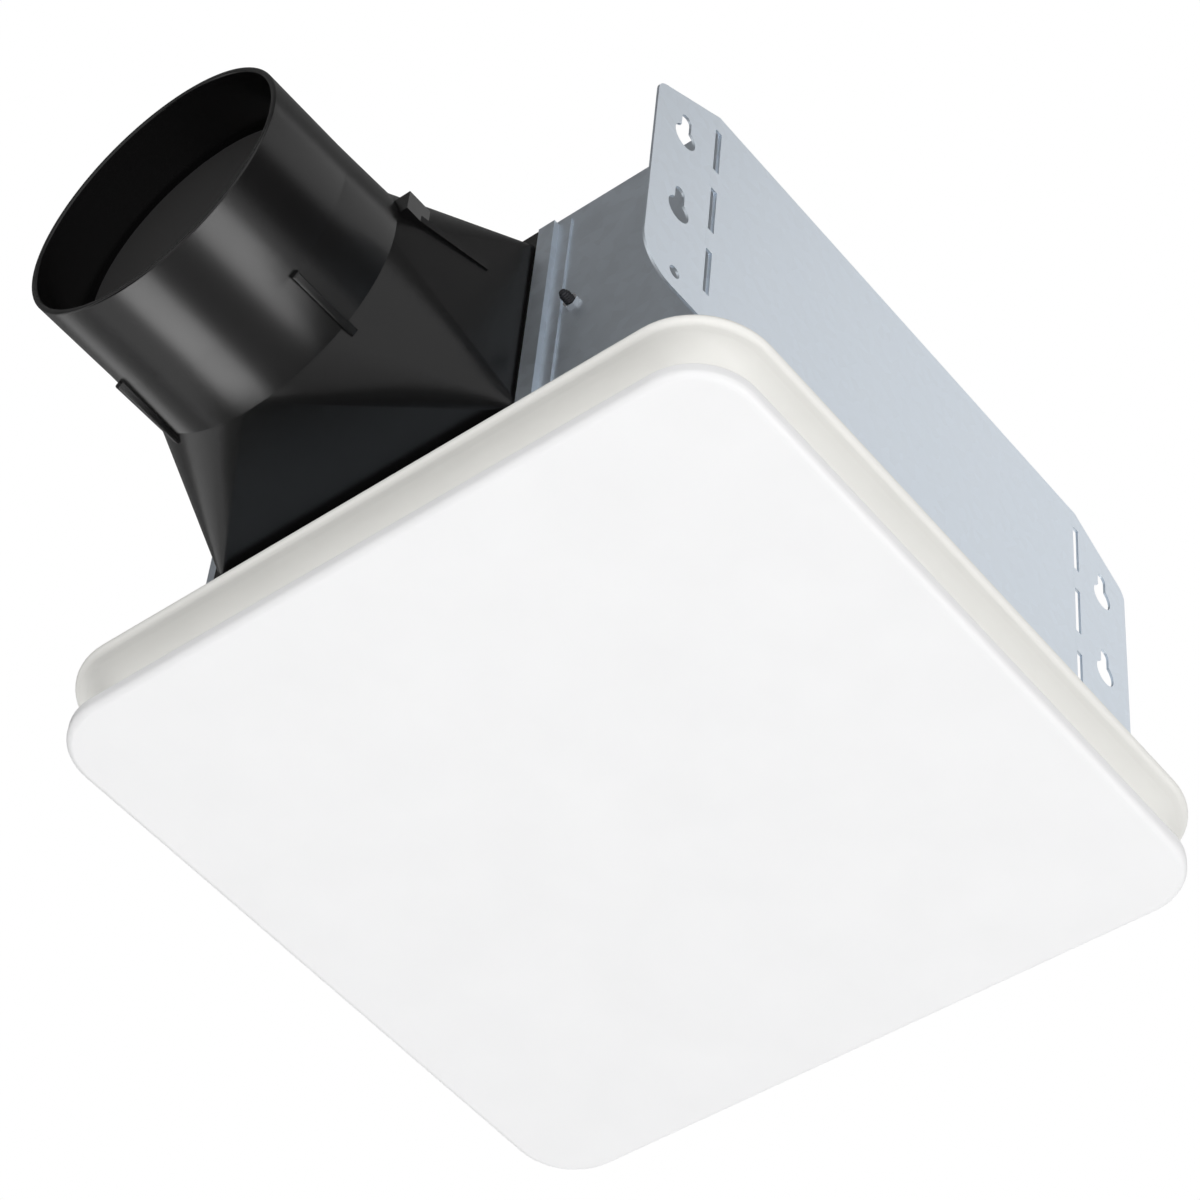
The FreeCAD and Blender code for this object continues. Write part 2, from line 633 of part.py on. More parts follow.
def damper_stop():
    """Arc rib behind the lower part of the flap."""
    x = FLAP_X + DAMPER_THICKNESS / 2 + SEAT_CLEARANCE
    inner = COLLAR_BORE - STOP_DEPTH
    outer = COLLAR_BORE + CONNECTOR_WALL / 2
    points = [V(x, DUCT_Y - inner, DUCT_Z), V(x + STOP_WIDTH, DUCT_Y - inner, DUCT_Z),
              V(x + STOP_WIDTH, DUCT_Y - outer, DUCT_Z), V(x, DUCT_Y - outer, DUCT_Z)]
    face = Part.Face(Part.makePolygon(points + points[:1]))
    rib = face.revolve(on_duct_axis(0), V(1, 0, 0), STOP_ANGLE)
    return turned(rib, 90.0 - STOP_ANGLE / 2)


def duct_connector():
    """Moulded duct connector: base flange, rectangle-to-round transition, collar, latch ribs."""
    flange = box(BASE_X, -HALF_LENGTH, FLANGE_FRONT, BASE_BACK + BASE_FLANGE_LIP, FLANGE_LOW, FLANGE_HIGH)
    tab_low = connector_screw_seats()[0].z - CONNECTOR_SCREW_MARGIN
    tab = box(BASE_X, -HALF_LENGTH, BASE_BACK, INNER_WIDTH, tab_low, FLANGE_HIGH)
    ribs = [turned(fin(), FIN_ANGLE), turned(fin(), 180.0 - FIN_ANGLE),
            latch(), latch().mirror(on_duct_axis(0), V(0, 1, 0))]
    outside = fuse_all([transition(0), flange, tab, collar_body()] + ribs)
    mouth = box(BASE_X, CUT_MARGIN - HALF_LENGTH, OUTLET_FRONT, OUTLET_BACK, SCROLL_BOTTOM, SCROLL_TOP)
    passage = fuse_all([transition(CONNECTOR_WALL), mouth,
                        rod(COLLAR_BORE, on_duct_axis(COLLAR_X), on_duct_axis(RIM_X - CUT_MARGIN))])
    shell = outside.cut(passage)
    for seat in connector_screw_seats():
        shell = shell.cut(screw_hole(seat, V(1, 0, 0), BASE_FLANGE_THICKNESS + CUT_MARGIN))
    shell = fuse_all([shell, pivot_boss(-1), pivot_boss(1), damper_stop()])
    lip = [edge for edge in shell.Edges if abs(edge.BoundBox.XMax - RIM_X) < TOLERANCE]
    return shell.makeFillet(RIM_ROUND, lip)


def damper_flap():
    """Round flap with a plain outer face; a web behind it carries the hinge barrel."""
    half = DAMPER_THICKNESS / 2
    disc = rod(DAMPER_RADIUS, on_duct_axis(FLAP_X - half), on_duct_axis(FLAP_X + half))
    end = pin_half_span() - PIVOT_BOSS_REACH - DAMPER_SIDE_CLEARANCE
    web = box(FLAP_X, DAMPER_X, DUCT_Y - end, DUCT_Y + end,
              DAMPER_PIN_Z - DAMPER_WEB / 2, DAMPER_PIN_Z + DAMPER_WEB / 2)
    barrel = rod(DAMPER_BARREL_RADIUS, pin_point(-end), pin_point(end))
    bore = rod(DAMPER_PIN_RADIUS + DAMPER_PIN_CLEARANCE, pin_point(-COLLAR_RADIUS), pin_point(COLLAR_RADIUS))
    return fuse_all([disc, web, barrel]).cut(bore)


def damper_pin():
    """Steel pin held in the two bosses."""
    half = pin_half_span() - CONNECTOR_WALL / 2
    return rod(DAMPER_PIN_RADIUS, pin_point(-half), pin_point(half))


def scroll_prism(grow, low, high):
    """Inside of the scroll, grown outwards by a given amount, between two heights."""
    first = V(WHEEL_X, WHEEL_Y, low)
    second = first + V(0, SCROLL_STEP, 0)
    third = second - V(SCROLL_STEP, 0, 0)
    front = OUTLET_FRONT - grow
    back = OUTLET_BACK + grow
    tongue = 180.0 - math.degrees(math.asin((front - WHEEL_Y) / (SCROLL_R1 + grow)))

    def arc(centre, radius, start, end):
        points = [centre + polar(radius, angle) for angle in (start, (start + end) / 2, end)]
        return Part.Arc(*points).toShape()

    arcs = [arc(first, SCROLL_R1 + grow, tongue, 270.0), arc(second, SCROLL_R2 + grow, 270.0, 360.0),
            arc(third, SCROLL_R3 + grow, 0.0, 90.0)]
    outlet_front = V(-INNER_LENGTH, front, low)
    outlet_back = V(-INNER_LENGTH, back, low)
    nose = first + polar(SCROLL_R1 + grow, tongue)
    end = third + V(0, SCROLL_R3 + grow, 0)
    lines = [Part.LineSegment(outlet_front, nose).toShape(), Part.LineSegment(end, outlet_back).toShape(),
             Part.LineSegment(outlet_back, outlet_front).toShape()]
    prism = Part.Face(Part.Wire(lines[:1] + arcs + lines[1:])).extrude(V(0, 0, high - low))
    if grow > SHEET:
        return prism
    middle = nose + V(0, 0, (high - low) / 2)
    edges = [edge for edge in prism.Edges if (edge.CenterOfMass - middle).Length < TOLERANCE]
    return prism.makeFillet(TONGUE_RADIUS + SHEET - grow, edges)


def tab_centres():
    """Screw tabs on the lower edge of the scroll: far side, front side, outlet side."""
    reach = SHEET + SCROLL_TAB / 2
    return [V(WHEEL_X + SCROLL_R2 + reach, WHEEL_Y + SCROLL_STEP, SCROLL_BOTTOM),
            V(WHEEL_X, WHEEL_Y - SCROLL_R1 - reach, SCROLL_BOTTOM),
            V(SCROLL_TAB - INNER_LENGTH, OUTLET_FRONT - reach, SCROLL_BOTTOM)]


def scroll_wall():
    """Volute wall with an outlet flange against the duct wall and three screw tabs."""
    inside = scroll_prism(0, SCROLL_BOTTOM, SCROLL_TOP)
    flange_low = WALL_SCREW_HEIGHT - OUTLET_FLANGE_HEIGHT / 2
    pieces = [scroll_prism(SHEET, SCROLL_BOTTOM, SCROLL_TOP),
              box(-INNER_LENGTH, SHEET - INNER_LENGTH, OUTLET_FRONT, OUTLET_FRONT - OUTLET_FLANGE,
                  flange_low, flange_low + OUTLET_FLANGE_HEIGHT)]
    half = SCROLL_TAB / 2
    root = half + SHEET + CUT_MARGIN
    for i, centre in enumerate(tab_centres()):
        wide_x = root if i == 0 else half
        wide_y = half if i == 0 else root
        pieces.append(box(centre.x - wide_x, centre.x + half, centre.y - half, centre.y + wide_y,
                          SCROLL_BOTTOM, SCROLL_BOTTOM + SHEET))
    wall = fuse_all(pieces).cut(inside)
    for centre in tab_centres():
        wall = wall.cut(rod(SCREW_RADIUS, centre - V(0, 0, CUT_MARGIN), centre + V(0, 0, CUT_MARGIN)))
    return wall.cut(screw_hole(wall_screw_seat(), V(-1, 0, 0), SHEET + CUT_MARGIN))


def inlet_plate():
    """Plate under the scroll with a bell mouth that turns up into the wheel."""
    low = SCROLL_BOTTOM - SHEET
    plate = scroll_prism(INLET_FLANGE, low, SCROLL_BOTTOM)
    reach_x = INNER_LENGTH - SEAT_CLEARANCE
    reach_y = INNER_WIDTH - SEAT_CLEARANCE
    plate = plate.common(box(-reach_x, reach_x, -reach_y, reach_y, low, SCROLL_BOTTOM))
    root = INLET_RADIUS + BELL_RADIUS
    plate = plate.cut(rod(root, V(WHEEL_X, WHEEL_Y, low - CUT_MARGIN),
                          V(WHEEL_X, WHEEL_Y, SCROLL_BOTTOM + CUT_MARGIN)))
    for centre in tab_centres():
        plate = plate.cut(screw_hole(centre - V(0, 0, SHEET), V(0, 0, 1), SHEET + CUT_MARGIN))
    slant = math.sqrt(0.5)

    def lip(radius):
        middle = V(WHEEL_X + root, WHEEL_Y, low + BELL_RADIUS)
        points = [middle - V(0, 0, radius), middle - V(radius * slant, 0, radius * slant),
                  middle - V(radius, 0, 0)]
        return Part.Arc(*points).toShape(), points

    below, below_points = lip(BELL_RADIUS)
    above, above_points = lip(BELL_RADIUS - SHEET)
    edges = [below, Part.LineSegment(below_points[2], above_points[2]).toShape(),
             above, Part.LineSegment(above_points[0], below_points[0]).toShape()]
    section = Part.Face(Part.Wire(Part.__sortEdges__(edges)))
    bell = section.revolve(V(WHEEL_X, WHEEL_Y, 0), V(0, 0, 1), 360)
    return fuse_all([plate, bell])


def revolved(points):
    """Solid of revolution about the wheel axis, from (radius, height) points."""
    corners = [V(WHEEL_X + radius, WHEEL_Y, height) for radius, height in points]
    face = Part.Face(Part.makePolygon(corners + corners[:1]))
    return face.revolve(V(WHEEL_X, WHEEL_Y, 0), V(0, 0, 1), 360)


def sector(inner, outer, low, high, start, sweep):
    """Block between two radii about the wheel axis, over an angle."""
    section = ((inner, low), (outer, low), (outer, high), (inner, high))
    points = [V(WHEEL_X + radius, WHEEL_Y, height) for radius, height in section]
    axis = V(WHEEL_X, WHEEL_Y, 0)
    block = Part.Face(Part.makePolygon(points + points[:1])).revolve(axis, V(0, 0, 1), sweep)
    block.rotate(axis, V(0, 0, 1), start)
    return block


def motor_ring(outer, inner, low, high):
    return ring(outer, inner, WHEEL_X, WHEEL_Y, low, high)


def blade(start):
    """One forward-curved blade, hollow side towards the turn."""
    tip = WHEEL_RADIUS - WHEEL_WALL / 2
    middle = (BLADE_INNER + tip) / 2
    half = math.degrees(BLADE_THICKNESS / 2 / middle)

    def edge(shift):
        belly = BLADE_SWEEP_ANGLE / 2 - BLADE_BOW_ANGLE
        places = ((BLADE_INNER, 0), (middle, belly), (tip, BLADE_SWEEP_ANGLE))
        return [polar(r, start + shift + turn, WHEEL_X, WHEEL_Y, WHEEL_BOTTOM) for r, turn in places]

    back = edge(-half)
    face = edge(half)
    outline = Part.Wire([Part.Arc(*back).toShape(), Part.LineSegment(back[2], face[2]).toShape(),
                         Part.Arc(*face[::-1]).toShape(), Part.LineSegment(face[0], back[0]).toShape()])
    return Part.Face(outline).extrude(V(0, 0, WHEEL_TOP - WHEEL_WALL / 2 - WHEEL_BOTTOM))


def blower_wheel():
    """Forward-curved wheel: blades between a ring and a plate dished to a cup round the motor."""
    under = CUP_FLOOR - WHEEL_WALL
    disc = WHEEL_TOP - WHEEL_WALL
    outside = [(HUB_RADIUS, under), (CUP_FLOOR_RADIUS + WHEEL_WALL, under), (CUP_RADIUS + WHEEL_WALL, disc),
               (WHEEL_RADIUS, disc)]
    inside = [(WHEEL_RADIUS, WHEEL_TOP), (CUP_RADIUS, WHEEL_TOP), (CUP_FLOOR_RADIUS, CUP_FLOOR),
              (SHAFT_RADIUS, CUP_FLOOR)]
    dish = revolved([(SHAFT_RADIUS, HUB_BOTTOM), (HUB_RADIUS, HUB_BOTTOM)] + outside + inside)
    rim = motor_ring(WHEEL_RADIUS, WHEEL_RADIUS - WHEEL_WALL, WHEEL_BOTTOM, WHEEL_BOTTOM + WHEEL_RING)
    blades = [blade(360.0 * i / BLADE_COUNT) for i in range(BLADE_COUNT)]
    return fuse_all([dish, rim] + blades)


def wheel_clip():
    """Push-on ring that keeps the wheel on the shaft."""
    return motor_ring((HUB_RADIUS + SHAFT_RADIUS) / 2, SHAFT_RADIUS, HUB_BOTTOM - CLIP_THICKNESS, HUB_BOTTOM)


def motor_shaft():
    return rod(SHAFT_RADIUS, V(WHEEL_X, WHEEL_Y, SHAFT_BOTTOM), V(WHEEL_X, WHEEL_Y, MOTOR_TOP))


def motor_rotor():
    return motor_ring(ROTOR_RADIUS, SHAFT_RADIUS, CORE_BOTTOM, CORE_TOP)


def slot_sectors(low, high):
    """The stator slots, which the winding fills."""
    sectors = []
    for i in range(POLE_COUNT):
        start = 360.0 * i / POLE_COUNT
        sectors.append(sector(WINDING_INNER, WINDING_OUTER, low, high, start, POLE_SLOT_ANGLE))
    return sectors


def stator_core():
    core = motor_ring(MOTOR_RADIUS, ROTOR_RADIUS + ROTOR_GAP, CORE_BOTTOM, CORE_TOP)
    return core.cut(Part.makeCompound(slot_sectors(CORE_BOTTOM, CORE_TOP)))


def windings():
    """End turns above and below the core, joined through its slots."""
    turns = [motor_ring(WINDING_OUTER, WINDING_INNER, CORE_TOP, CORE_TOP + END_TURN_HEIGHT),
             motor_ring(WINDING_OUTER, WINDING_INNER, CORE_BOTTOM - END_TURN_HEIGHT, CORE_BOTTOM)]
    return fuse_all(turns + slot_sectors(CORE_BOTTOM, CORE_TOP))


def end_bell(closed, open_side):
    """Cup over one end of the stator with a boss for its bearing."""
    inward = 1 if open_side > closed else -1
    cup = motor_ring(BELL_OUTER, BELL_OUTER - BELL_WALL, closed, open_side)
    floor = motor_ring(BELL_OUTER, BEARING_RADIUS, closed, closed + inward * BELL_WALL)
    boss = motor_ring(BEARING_RADIUS + BEARING_BOSS_WALL, BEARING_RADIUS, closed,
                      closed + inward * BEARING_LENGTH)
    return fuse_all([cup, floor, boss])


def stud_places(z):
    places = []
    for i in range(STUD_COUNT):
        places.append(polar(STUD_CIRCLE_RADIUS, 90.0 + 360.0 * i / STUD_COUNT, WHEEL_X, WHEEL_Y, z))
    return places


def upper_end_bell():
    bell = end_bell(MOTOR_TOP, CORE_TOP)
    for place in stud_places(MOTOR_TOP):
        bell = bell.cut(rod(STUD_RADIUS, place - V(0, 0, UPPER_BELL_HEIGHT), place + V(0, 0, CUT_MARGIN)))
    return bell


def lower_end_bell():
    return end_bell(MOTOR_BOTTOM, CORE_BOTTOM)


def bearing(low):
    return motor_ring(BEARING_RADIUS, SHAFT_RADIUS + BEARING_CLEARANCE, low, low + BEARING_LENGTH)


def motor_studs():
    """Studs pressed into the upper bell; their ends carry the nuts above the grommets."""
    studs = []
    for place in stud_places(MOTOR_TOP - BELL_WALL):
        head = rod(STUD_HEAD_RADIUS, place - V(0, 0, STUD_HEAD), place)
        end = V(place.x, place.y, GROMMET_TOP + NUT_HEIGHT + STUD_END)
        studs.append(head.fuse(rod(STUD_RADIUS, place, end)).removeSplitter())
    return Part.makeCompound(studs)


def motor_grommets():
    """Rubber grommets in the holes of the motor plate."""
    grommets = []
    for place in stud_places(MOTOR_TOP):
        neck = V(place.x, place.y, SCROLL_TOP)
        shoulder = neck + V(0, 0, SHEET)
        top = V(place.x, place.y, GROMMET_TOP)
        body = fuse_all([rod(GROMMET_RADIUS, place, neck), rod(GROMMET_NECK, neck, shoulder),
                         rod(GROMMET_RADIUS, shoulder, top)])
        grommets.append(body.cut(rod(STUD_RADIUS, place, top)))
    return Part.makeCompound(grommets)


def motor_nuts():
    nuts = []
    for place in stud_places(GROMMET_TOP):
        nuts.append(hex_nut(place, V(0, 0, 1), NUT_RADIUS, STUD_RADIUS, NUT_HEIGHT))
    return Part.makeCompound(nuts)


def motor_plate():
    """Scroll top bent down from two feet under the housing top; it carries the motor on grommets."""
    start = SEAT_CLEARANCE - INNER_LENGTH
    end = WHEEL_X + SCROLL_R2 + SHEET
    front = WHEEL_Y - SCROLL_R1
    back = OUTLET_BACK + PLATE_SIDE_GAP
    web = SCROLL_TOP + SHEET
    points = [V(start, front - PLATE_FOOT, TOP_INSIDE), V(start, front, TOP_INSIDE), V(start, front, web),
              V(start, back, web), V(start, back, TOP_INSIDE), V(start, back + PLATE_FOOT, TOP_INSIDE)]
    plate = bent_sheet(points, V(end - start, 0, 0))
    for place in stud_places(SCROLL_TOP):
        plate = plate.cut(rod(GROMMET_NECK, place - V(0, 0, CUT_MARGIN), place + V(0, 0, SHEET + CUT_MARGIN)))
    return plate


def wiring_cover():
    """Bent cover that closes off the wiring box from the blower."""
    y = SEAT_CLEARANCE - INNER_WIDTH
    points = [V(INNER_LENGTH, y, BOX_Z), V(INNER_LENGTH, BOX_Y, BOX_Z), V(INNER_LENGTH, BOX_Y, TOP_INSIDE)]
    tray = bent_sheet(points, V(-BOX_LENGTH, 0, 0))
    end = box(BOX_X, BOX_X + SHEET, y, BOX_Y, BOX_Z, TOP_INSIDE)
    tab = box(INNER_LENGTH - SHEET, INNER_LENGTH, BOX_Y - SHEET, COVER_SCREW_Y + SCREW_EDGE,
              BOX_Z, BOX_Z + COVER_TAB_HEIGHT)
    cover = fuse_all([tray, end, tab])
    cover = cover.cut(screw_hole(cover_screw_seat(), V(1, 0, 0), SHEET + CUT_MARGIN))
    half_x = RECEPTACLE_LENGTH / 2 + RECEPTACLE_CLEARANCE
    half_y = RECEPTACLE_WIDTH / 2 + RECEPTACLE_CLEARANCE
    middle = BOX_X + BOX_LENGTH / 2
    return cover.cut(box(middle - half_x, middle + half_x, BOX_MIDDLE - half_y, BOX_MIDDLE + half_y,
                         BOX_Z - CUT_MARGIN, BOX_Z + CUT_MARGIN))


def receptacle():
    """Plug socket for the motor, snapped into the floor of the wiring box and facing down."""
    middle = BOX_X + BOX_LENGTH / 2

    def block(grow, low, high):
        x = RECEPTACLE_LENGTH / 2 + grow
        y = RECEPTACLE_WIDTH / 2 + grow
        return box(middle - x, middle + x, BOX_MIDDLE - y, BOX_MIDDLE + y, low, high)

    body = fuse_all([block(0, BOX_Z - RECEPTACLE_LIP, BOX_Z + RECEPTACLE_HEIGHT),
                     block(RECEPTACLE_LIP, BOX_Z - RECEPTACLE_LIP, BOX_Z)])
    low = BOX_Z - RECEPTACLE_LIP - CUT_MARGIN
    for hand in (-1, 1):
        x = middle + hand * CONTACT_SPACING / 2
        body = body.cut(box(x - CONTACT_SLOT_WIDTH / 2, x + CONTACT_SLOT_WIDTH / 2,
                            BOX_MIDDLE - CONTACT_SLOT_LENGTH / 2, BOX_MIDDLE + CONTACT_SLOT_LENGTH / 2,
                            low, BOX_Z + CONTACT_SLOT_DEPTH))
    return body


def knockout_disc(radius, margin):
    """Disc in the far wall, past both of its faces by a margin."""
    inside = V(INNER_LENGTH - margin, BOX_MIDDLE, KNOCKOUT_Z)
    outside = V(HALF_LENGTH + margin, BOX_MIDDLE, KNOCKOUT_Z)
    return rod(radius, inside, outside)


def knockout():
    """Closed cable knockout in the far wall."""
    return knockout_disc(KNOCKOUT_RADIUS, 0)


def frame_profile(centre, degrees):
    """Section of the grille frame: half-round rim, cove, neck, at an angle about a corner centre."""
    slant = math.sqrt(0.5)
    outward = polar(1.0, degrees)

    def point(depth, z):
        return centre + outward * (FRAME_CORNER - depth) + V(0, 0, z)

    def scoop(radius):
        drop = -FRAME_RIM - COVE_RADIUS
        return [point(FRAME_RIM_LAND, drop + radius),
                point(FRAME_RIM_LAND + radius * slant, drop + radius * slant),
                point(FRAME_RIM_LAND + radius, drop)]

    rim = [point(FRAME_RIM / 2, 0), point(0, -FRAME_RIM / 2), point(FRAME_RIM / 2, -FRAME_RIM)]
    cove = scoop(COVE_RADIUS)
    back = scoop(COVE_RADIUS + FRAME_WALL)
    land = point(FRAME_RIM_LAND, 0)
    edges = [Part.Arc(*rim).toShape(), Part.LineSegment(rim[2], cove[0]).toShape(), Part.Arc(*cove).toShape(),
             Part.LineSegment(cove[2], back[2]).toShape(), Part.Arc(*back[::-1]).toShape(),
             Part.LineSegment(back[0], land).toShape(), Part.LineSegment(land, rim[0]).toShape()]
    return Part.Face(Part.Wire(edges))


def post_places(z):
    return [V(x, y, z) for x in (-POST_SPACING / 2, POST_SPACING / 2) for y in (-BAR_Y, BAR_Y)]


def spring_peg(side):
    """Peg on the bar that the coil of a grille spring sits on."""
    y = side * (BAR_Y - COIL_LENGTH / 2 - WIRE_RADIUS - SEAT_CLEARANCE)
    wall = box(-COIL_RADIUS, COIL_RADIUS, y, y - side * PEG_WALL, BAR_TOP, COIL_Z + COIL_RADIUS)
    radius = COIL_RADIUS - WIRE_RADIUS - PEG_CLEARANCE
    peg = rod(radius, V(0, y - side * PEG_WALL, COIL_Z), V(0, side * (BAR_Y + COIL_LENGTH / 2), COIL_Z))
    return [wall, peg]


def standoff(x, y):
    """Foot on a bar that stops the frame under the mouth flange."""
    half = STANDOFF_LENGTH / 2
    wall = STANDOFF_WIDTH / 2
    return box(x - half, x + half, y - wall, y + wall, BAR_TOP, -SEAT_CLEARANCE)


def grille_frame():
    """Scooped frame swept round the opening, with two bars for the panel posts and the springs."""
    run_x = FRAME_LENGTH - 2 * FRAME_CORNER
    run_y = FRAME_WIDTH - 2 * FRAME_CORNER
    pieces = []
    for i, (hand_x, hand_y) in enumerate(((1, 1), (-1, 1), (-1, -1), (1, -1))):
        centre = V(hand_x * run_x / 2, hand_y * run_y / 2, 0)
        start = 90.0 * i
        pieces.append(frame_profile(centre, start).revolve(centre, V(0, 0, 1), 90))
        run = run_x if i % 2 == 0 else run_y
        pieces.append(frame_profile(centre, start + 90).extrude(polar(run, start + 180)))
    bar_end = FRAME_INNER_X + FRAME_WALL / 2
    for side in (-1, 1):
        pieces.append(box(-bar_end, bar_end, side * BAR_Y - BAR_WIDTH / 2, side * BAR_Y + BAR_WIDTH / 2,
                          NECK_BOTTOM, BAR_TOP))
        pieces += spring_peg(side)
        for hand in (-1, 1):
            pieces.append(standoff(hand * STANDOFF_SPACING / 2, side * BAR_Y))
    frame = fuse_all(pieces)
    for place in post_places(NECK_BOTTOM):
        frame = frame.cut(rod(POST_PIN_RADIUS + POST_PIN_CLEARANCE, place - V(0, 0, CUT_MARGIN),
                              place + V(0, 0, BAR_THICKNESS + CUT_MARGIN)))
    return frame


def face_panel():
    """Flat panel with a rounded face edge, carried on four posts with snap heads."""
    slab = Part.Face(rounded_rectangle(PANEL_LENGTH, PANEL_WIDTH, PANEL_CORNER, -PANEL_FACE_DEPTH))
    slab = slab.extrude(V(0, 0, PANEL_THICKNESS))
    face_edges = [edge for edge in slab.Edges if edge.BoundBox.ZMax < TOLERANCE - PANEL_FACE_DEPTH]
    slab = slab.makeFillet(PANEL_FACE_ROUND, face_edges)
    back_edges = [edge for edge in slab.Edges if edge.BoundBox.ZMin > PANEL_BACK - TOLERANCE]
    slab = slab.makeFillet(PANEL_BACK_ROUND, back_edges)
    pieces = [slab]
    root = V(0, 0, PANEL_THICKNESS / 2)
    for place in post_places(PANEL_BACK):
        under = V(place.x, place.y, NECK_BOTTOM)
        top = V(place.x, place.y, BAR_TOP)
        head = Part.makeCone(POST_HEAD_RADIUS, POST_PIN_RADIUS, POST_HEAD_HEIGHT, top)
        pieces += [rod(POST_RADIUS, place - root, under), rod(POST_PIN_RADIUS, under, top), head]
    return fuse_all(pieces)


def tangent_arc(start, heading, end):
    """Arc from a start point and heading to an end point."""
    chord = end - start
    half = heading.getAngle(chord)
    turn = heading - chord * (heading.dot(chord) / chord.dot(chord))
    middle = (start + end) * 0.5 + turn.normalize() * (chord.Length / 2 * math.tan(half / 2))
    return Part.Arc(start, middle, end).toShape()


def biarc(start, start_heading, end, end_heading):
    """Two tangent arcs between two points with given headings."""
    span = end - start
    both = start_heading + end_heading
    a = both.dot(both) - 4.0
    b = -2.0 * span.dot(both)
    c = span.dot(span)
    reach = (-b - math.sqrt(b * b - 4.0 * a * c)) / (2.0 * a)
    joint = (start + start_heading * reach + end - end_heading * reach) * 0.5
    joint_heading = ((end - end_heading * reach) - (start + start_heading * reach)).normalize()
    return [tangent_arc(start, start_heading, joint), tangent_arc(joint, joint_heading, end)]


def coil_point(y_middle, turned_by):
    """Point and heading on the coil of a grille spring, an angle on from its first leg."""
    angle = math.radians(180.0 + LEG_ANGLE + turned_by)
    within = 0.0 < turned_by < COIL_ANGLE
    rise = COIL_LENGTH / math.radians(COIL_ANGLE) if within else 0.0
    y = y_middle + COIL_LENGTH * (turned_by / COIL_ANGLE - 0.5)
    point = V(COIL_RADIUS * math.cos(angle), y, COIL_Z + COIL_RADIUS * math.sin(angle))
    heading = V(-COIL_RADIUS * math.sin(angle), rise, COIL_RADIUS * math.cos(angle)).normalize()
    return point, heading


def spring_leg(foot, heading, hand):
    """Straight leg up from the coil and a hook bent outwards at its tip, from the coil to the tip."""
    knee = foot + heading * LEG_LENGTH
    outward = V(hand, 0, 0)
    bend = heading.getAngle(outward)
    setback = LEG_BEND * math.tan(bend / 2)
    hook = knee + (heading + outward) * setback
    tip = hook + outward * LEG_HOOK
    return [Part.LineSegment(foot, knee).toShape(), tangent_arc(knee, heading, hook),
            Part.LineSegment(hook, tip).toShape()]


def coil_gap(path):
    """Least gap between turns, measured on points along the wire's centre line."""
    points = path.discretize(Distance=WIRE_RADIUS)
    apart = int(math.pi * COIL_RADIUS / WIRE_RADIUS)
    gaps = []
    for i, point in enumerate(points):
        gaps += [(point - other).Length for other in points[i + apart:]]
    return min(gaps) - 2 * WIRE_RADIUS


def grille_spring(side):
    """Torsion spring: two legs spread in a V through the mouth flange, and a coil on the frame's peg."""
    y = side * BAR_Y
    steps = math.ceil(COIL_ANGLE / 90.0)
    marks = [coil_point(y, COIL_ANGLE * i / steps) for i in range(steps + 1)]
    coil = []
    for (start, start_heading), (end, end_heading) in zip(marks, marks[1:]):
        coil += biarc(start, start_heading, end, end_heading)
    first = spring_leg(marks[0][0], -marks[0][1], -1)
    last = spring_leg(marks[-1][0], marks[-1][1], 1)
    path = Part.Wire(Part.__sortEdges__(first + coil + last))
    print("grille spring: least gap between turns %.2f mm" % coil_gap(path))
    start = path.OrderedVertexes[0].Point
    heading = path.OrderedEdges[0].tangentAt(path.OrderedEdges[0].FirstParameter)
    section = Part.Wire(Part.Circle(start, heading, WIRE_RADIUS).toShape())
    return path.makePipeShell([section], True, False)


def build():
    """Every piece by its node name."""
    along = V(1, 0, 0)
    inlet_screws = []
    for centre in tab_centres():
        inlet_screws.append(screw(centre - V(0, 0, SHEET), V(0, 0, 1), 2 * SHEET + SHORT_TIP))
    connector_screws = []
    for seat in connector_screw_seats():
        connector_screws.append(screw(seat, along, BASE_FLANGE_THICKNESS + SHEET + SHORT_TIP))
    return {
        "housing_wrap": housing_wrap(),
        "front_side_plate": front_side_plate(),
        "rear_side_plate": side_plate(1, HALF_LENGTH),
        "left_ear": ear(-1),
        "right_ear": ear(1),
        "connector_rail": connector_rail(),
        "wall_screw": screw(wall_screw_seat(), -along, 2 * SHEET + SCREW_TIP),
        "wall_nut": hex_nut(V(-HALF_LENGTH, WALL_SCREW_Y, WALL_SCREW_HEIGHT), -along,
                            WALL_NUT_RADIUS, SCREW_RADIUS, WALL_NUT_HEIGHT),
        "knockout": knockout(),
        "wiring_cover": wiring_cover(),
        "cover_screw": screw(cover_screw_seat(), along, 2 * SHEET + SHORT_TIP),
        "ground_screw": screw(ground_screw_seat(), along, SHEET + SHORT_TIP),
        "receptacle": receptacle(),
        "duct_connector": duct_connector(),
        "connector_screws": Part.makeCompound(connector_screws),
        "damper_flap": damper_flap(),
        "damper_pin": damper_pin(),
        "scroll_wall": scroll_wall(),
        "inlet_plate": inlet_plate(),
        "inlet_plate_screws": Part.makeCompound(inlet_screws),
        "motor_plate": motor_plate(),
        "motor_grommets": motor_grommets(),
        "motor_studs": motor_studs(),
        "motor_nuts": motor_nuts(),
        "upper_end_bell": upper_end_bell(),
        "lower_end_bell": lower_end_bell(),
        "stator_core": stator_core(),
        "windings": windings(),
        "upper_bearing": bearing(MOTOR_TOP - BEARING_LENGTH),
        "lower_bearing": bearing(MOTOR_BOTTOM),
        "motor_rotor": motor_rotor(),
        "motor_shaft": motor_shaft(),
        "blower_wheel": blower_wheel(),
        "wheel_clip": wheel_clip(),
        "grille_frame": grille_frame(),
        "face_panel": face_panel(),
        "front_grille_spring": grille_spring(-1),
        "rear_grille_spring": grille_spring(1),
    }


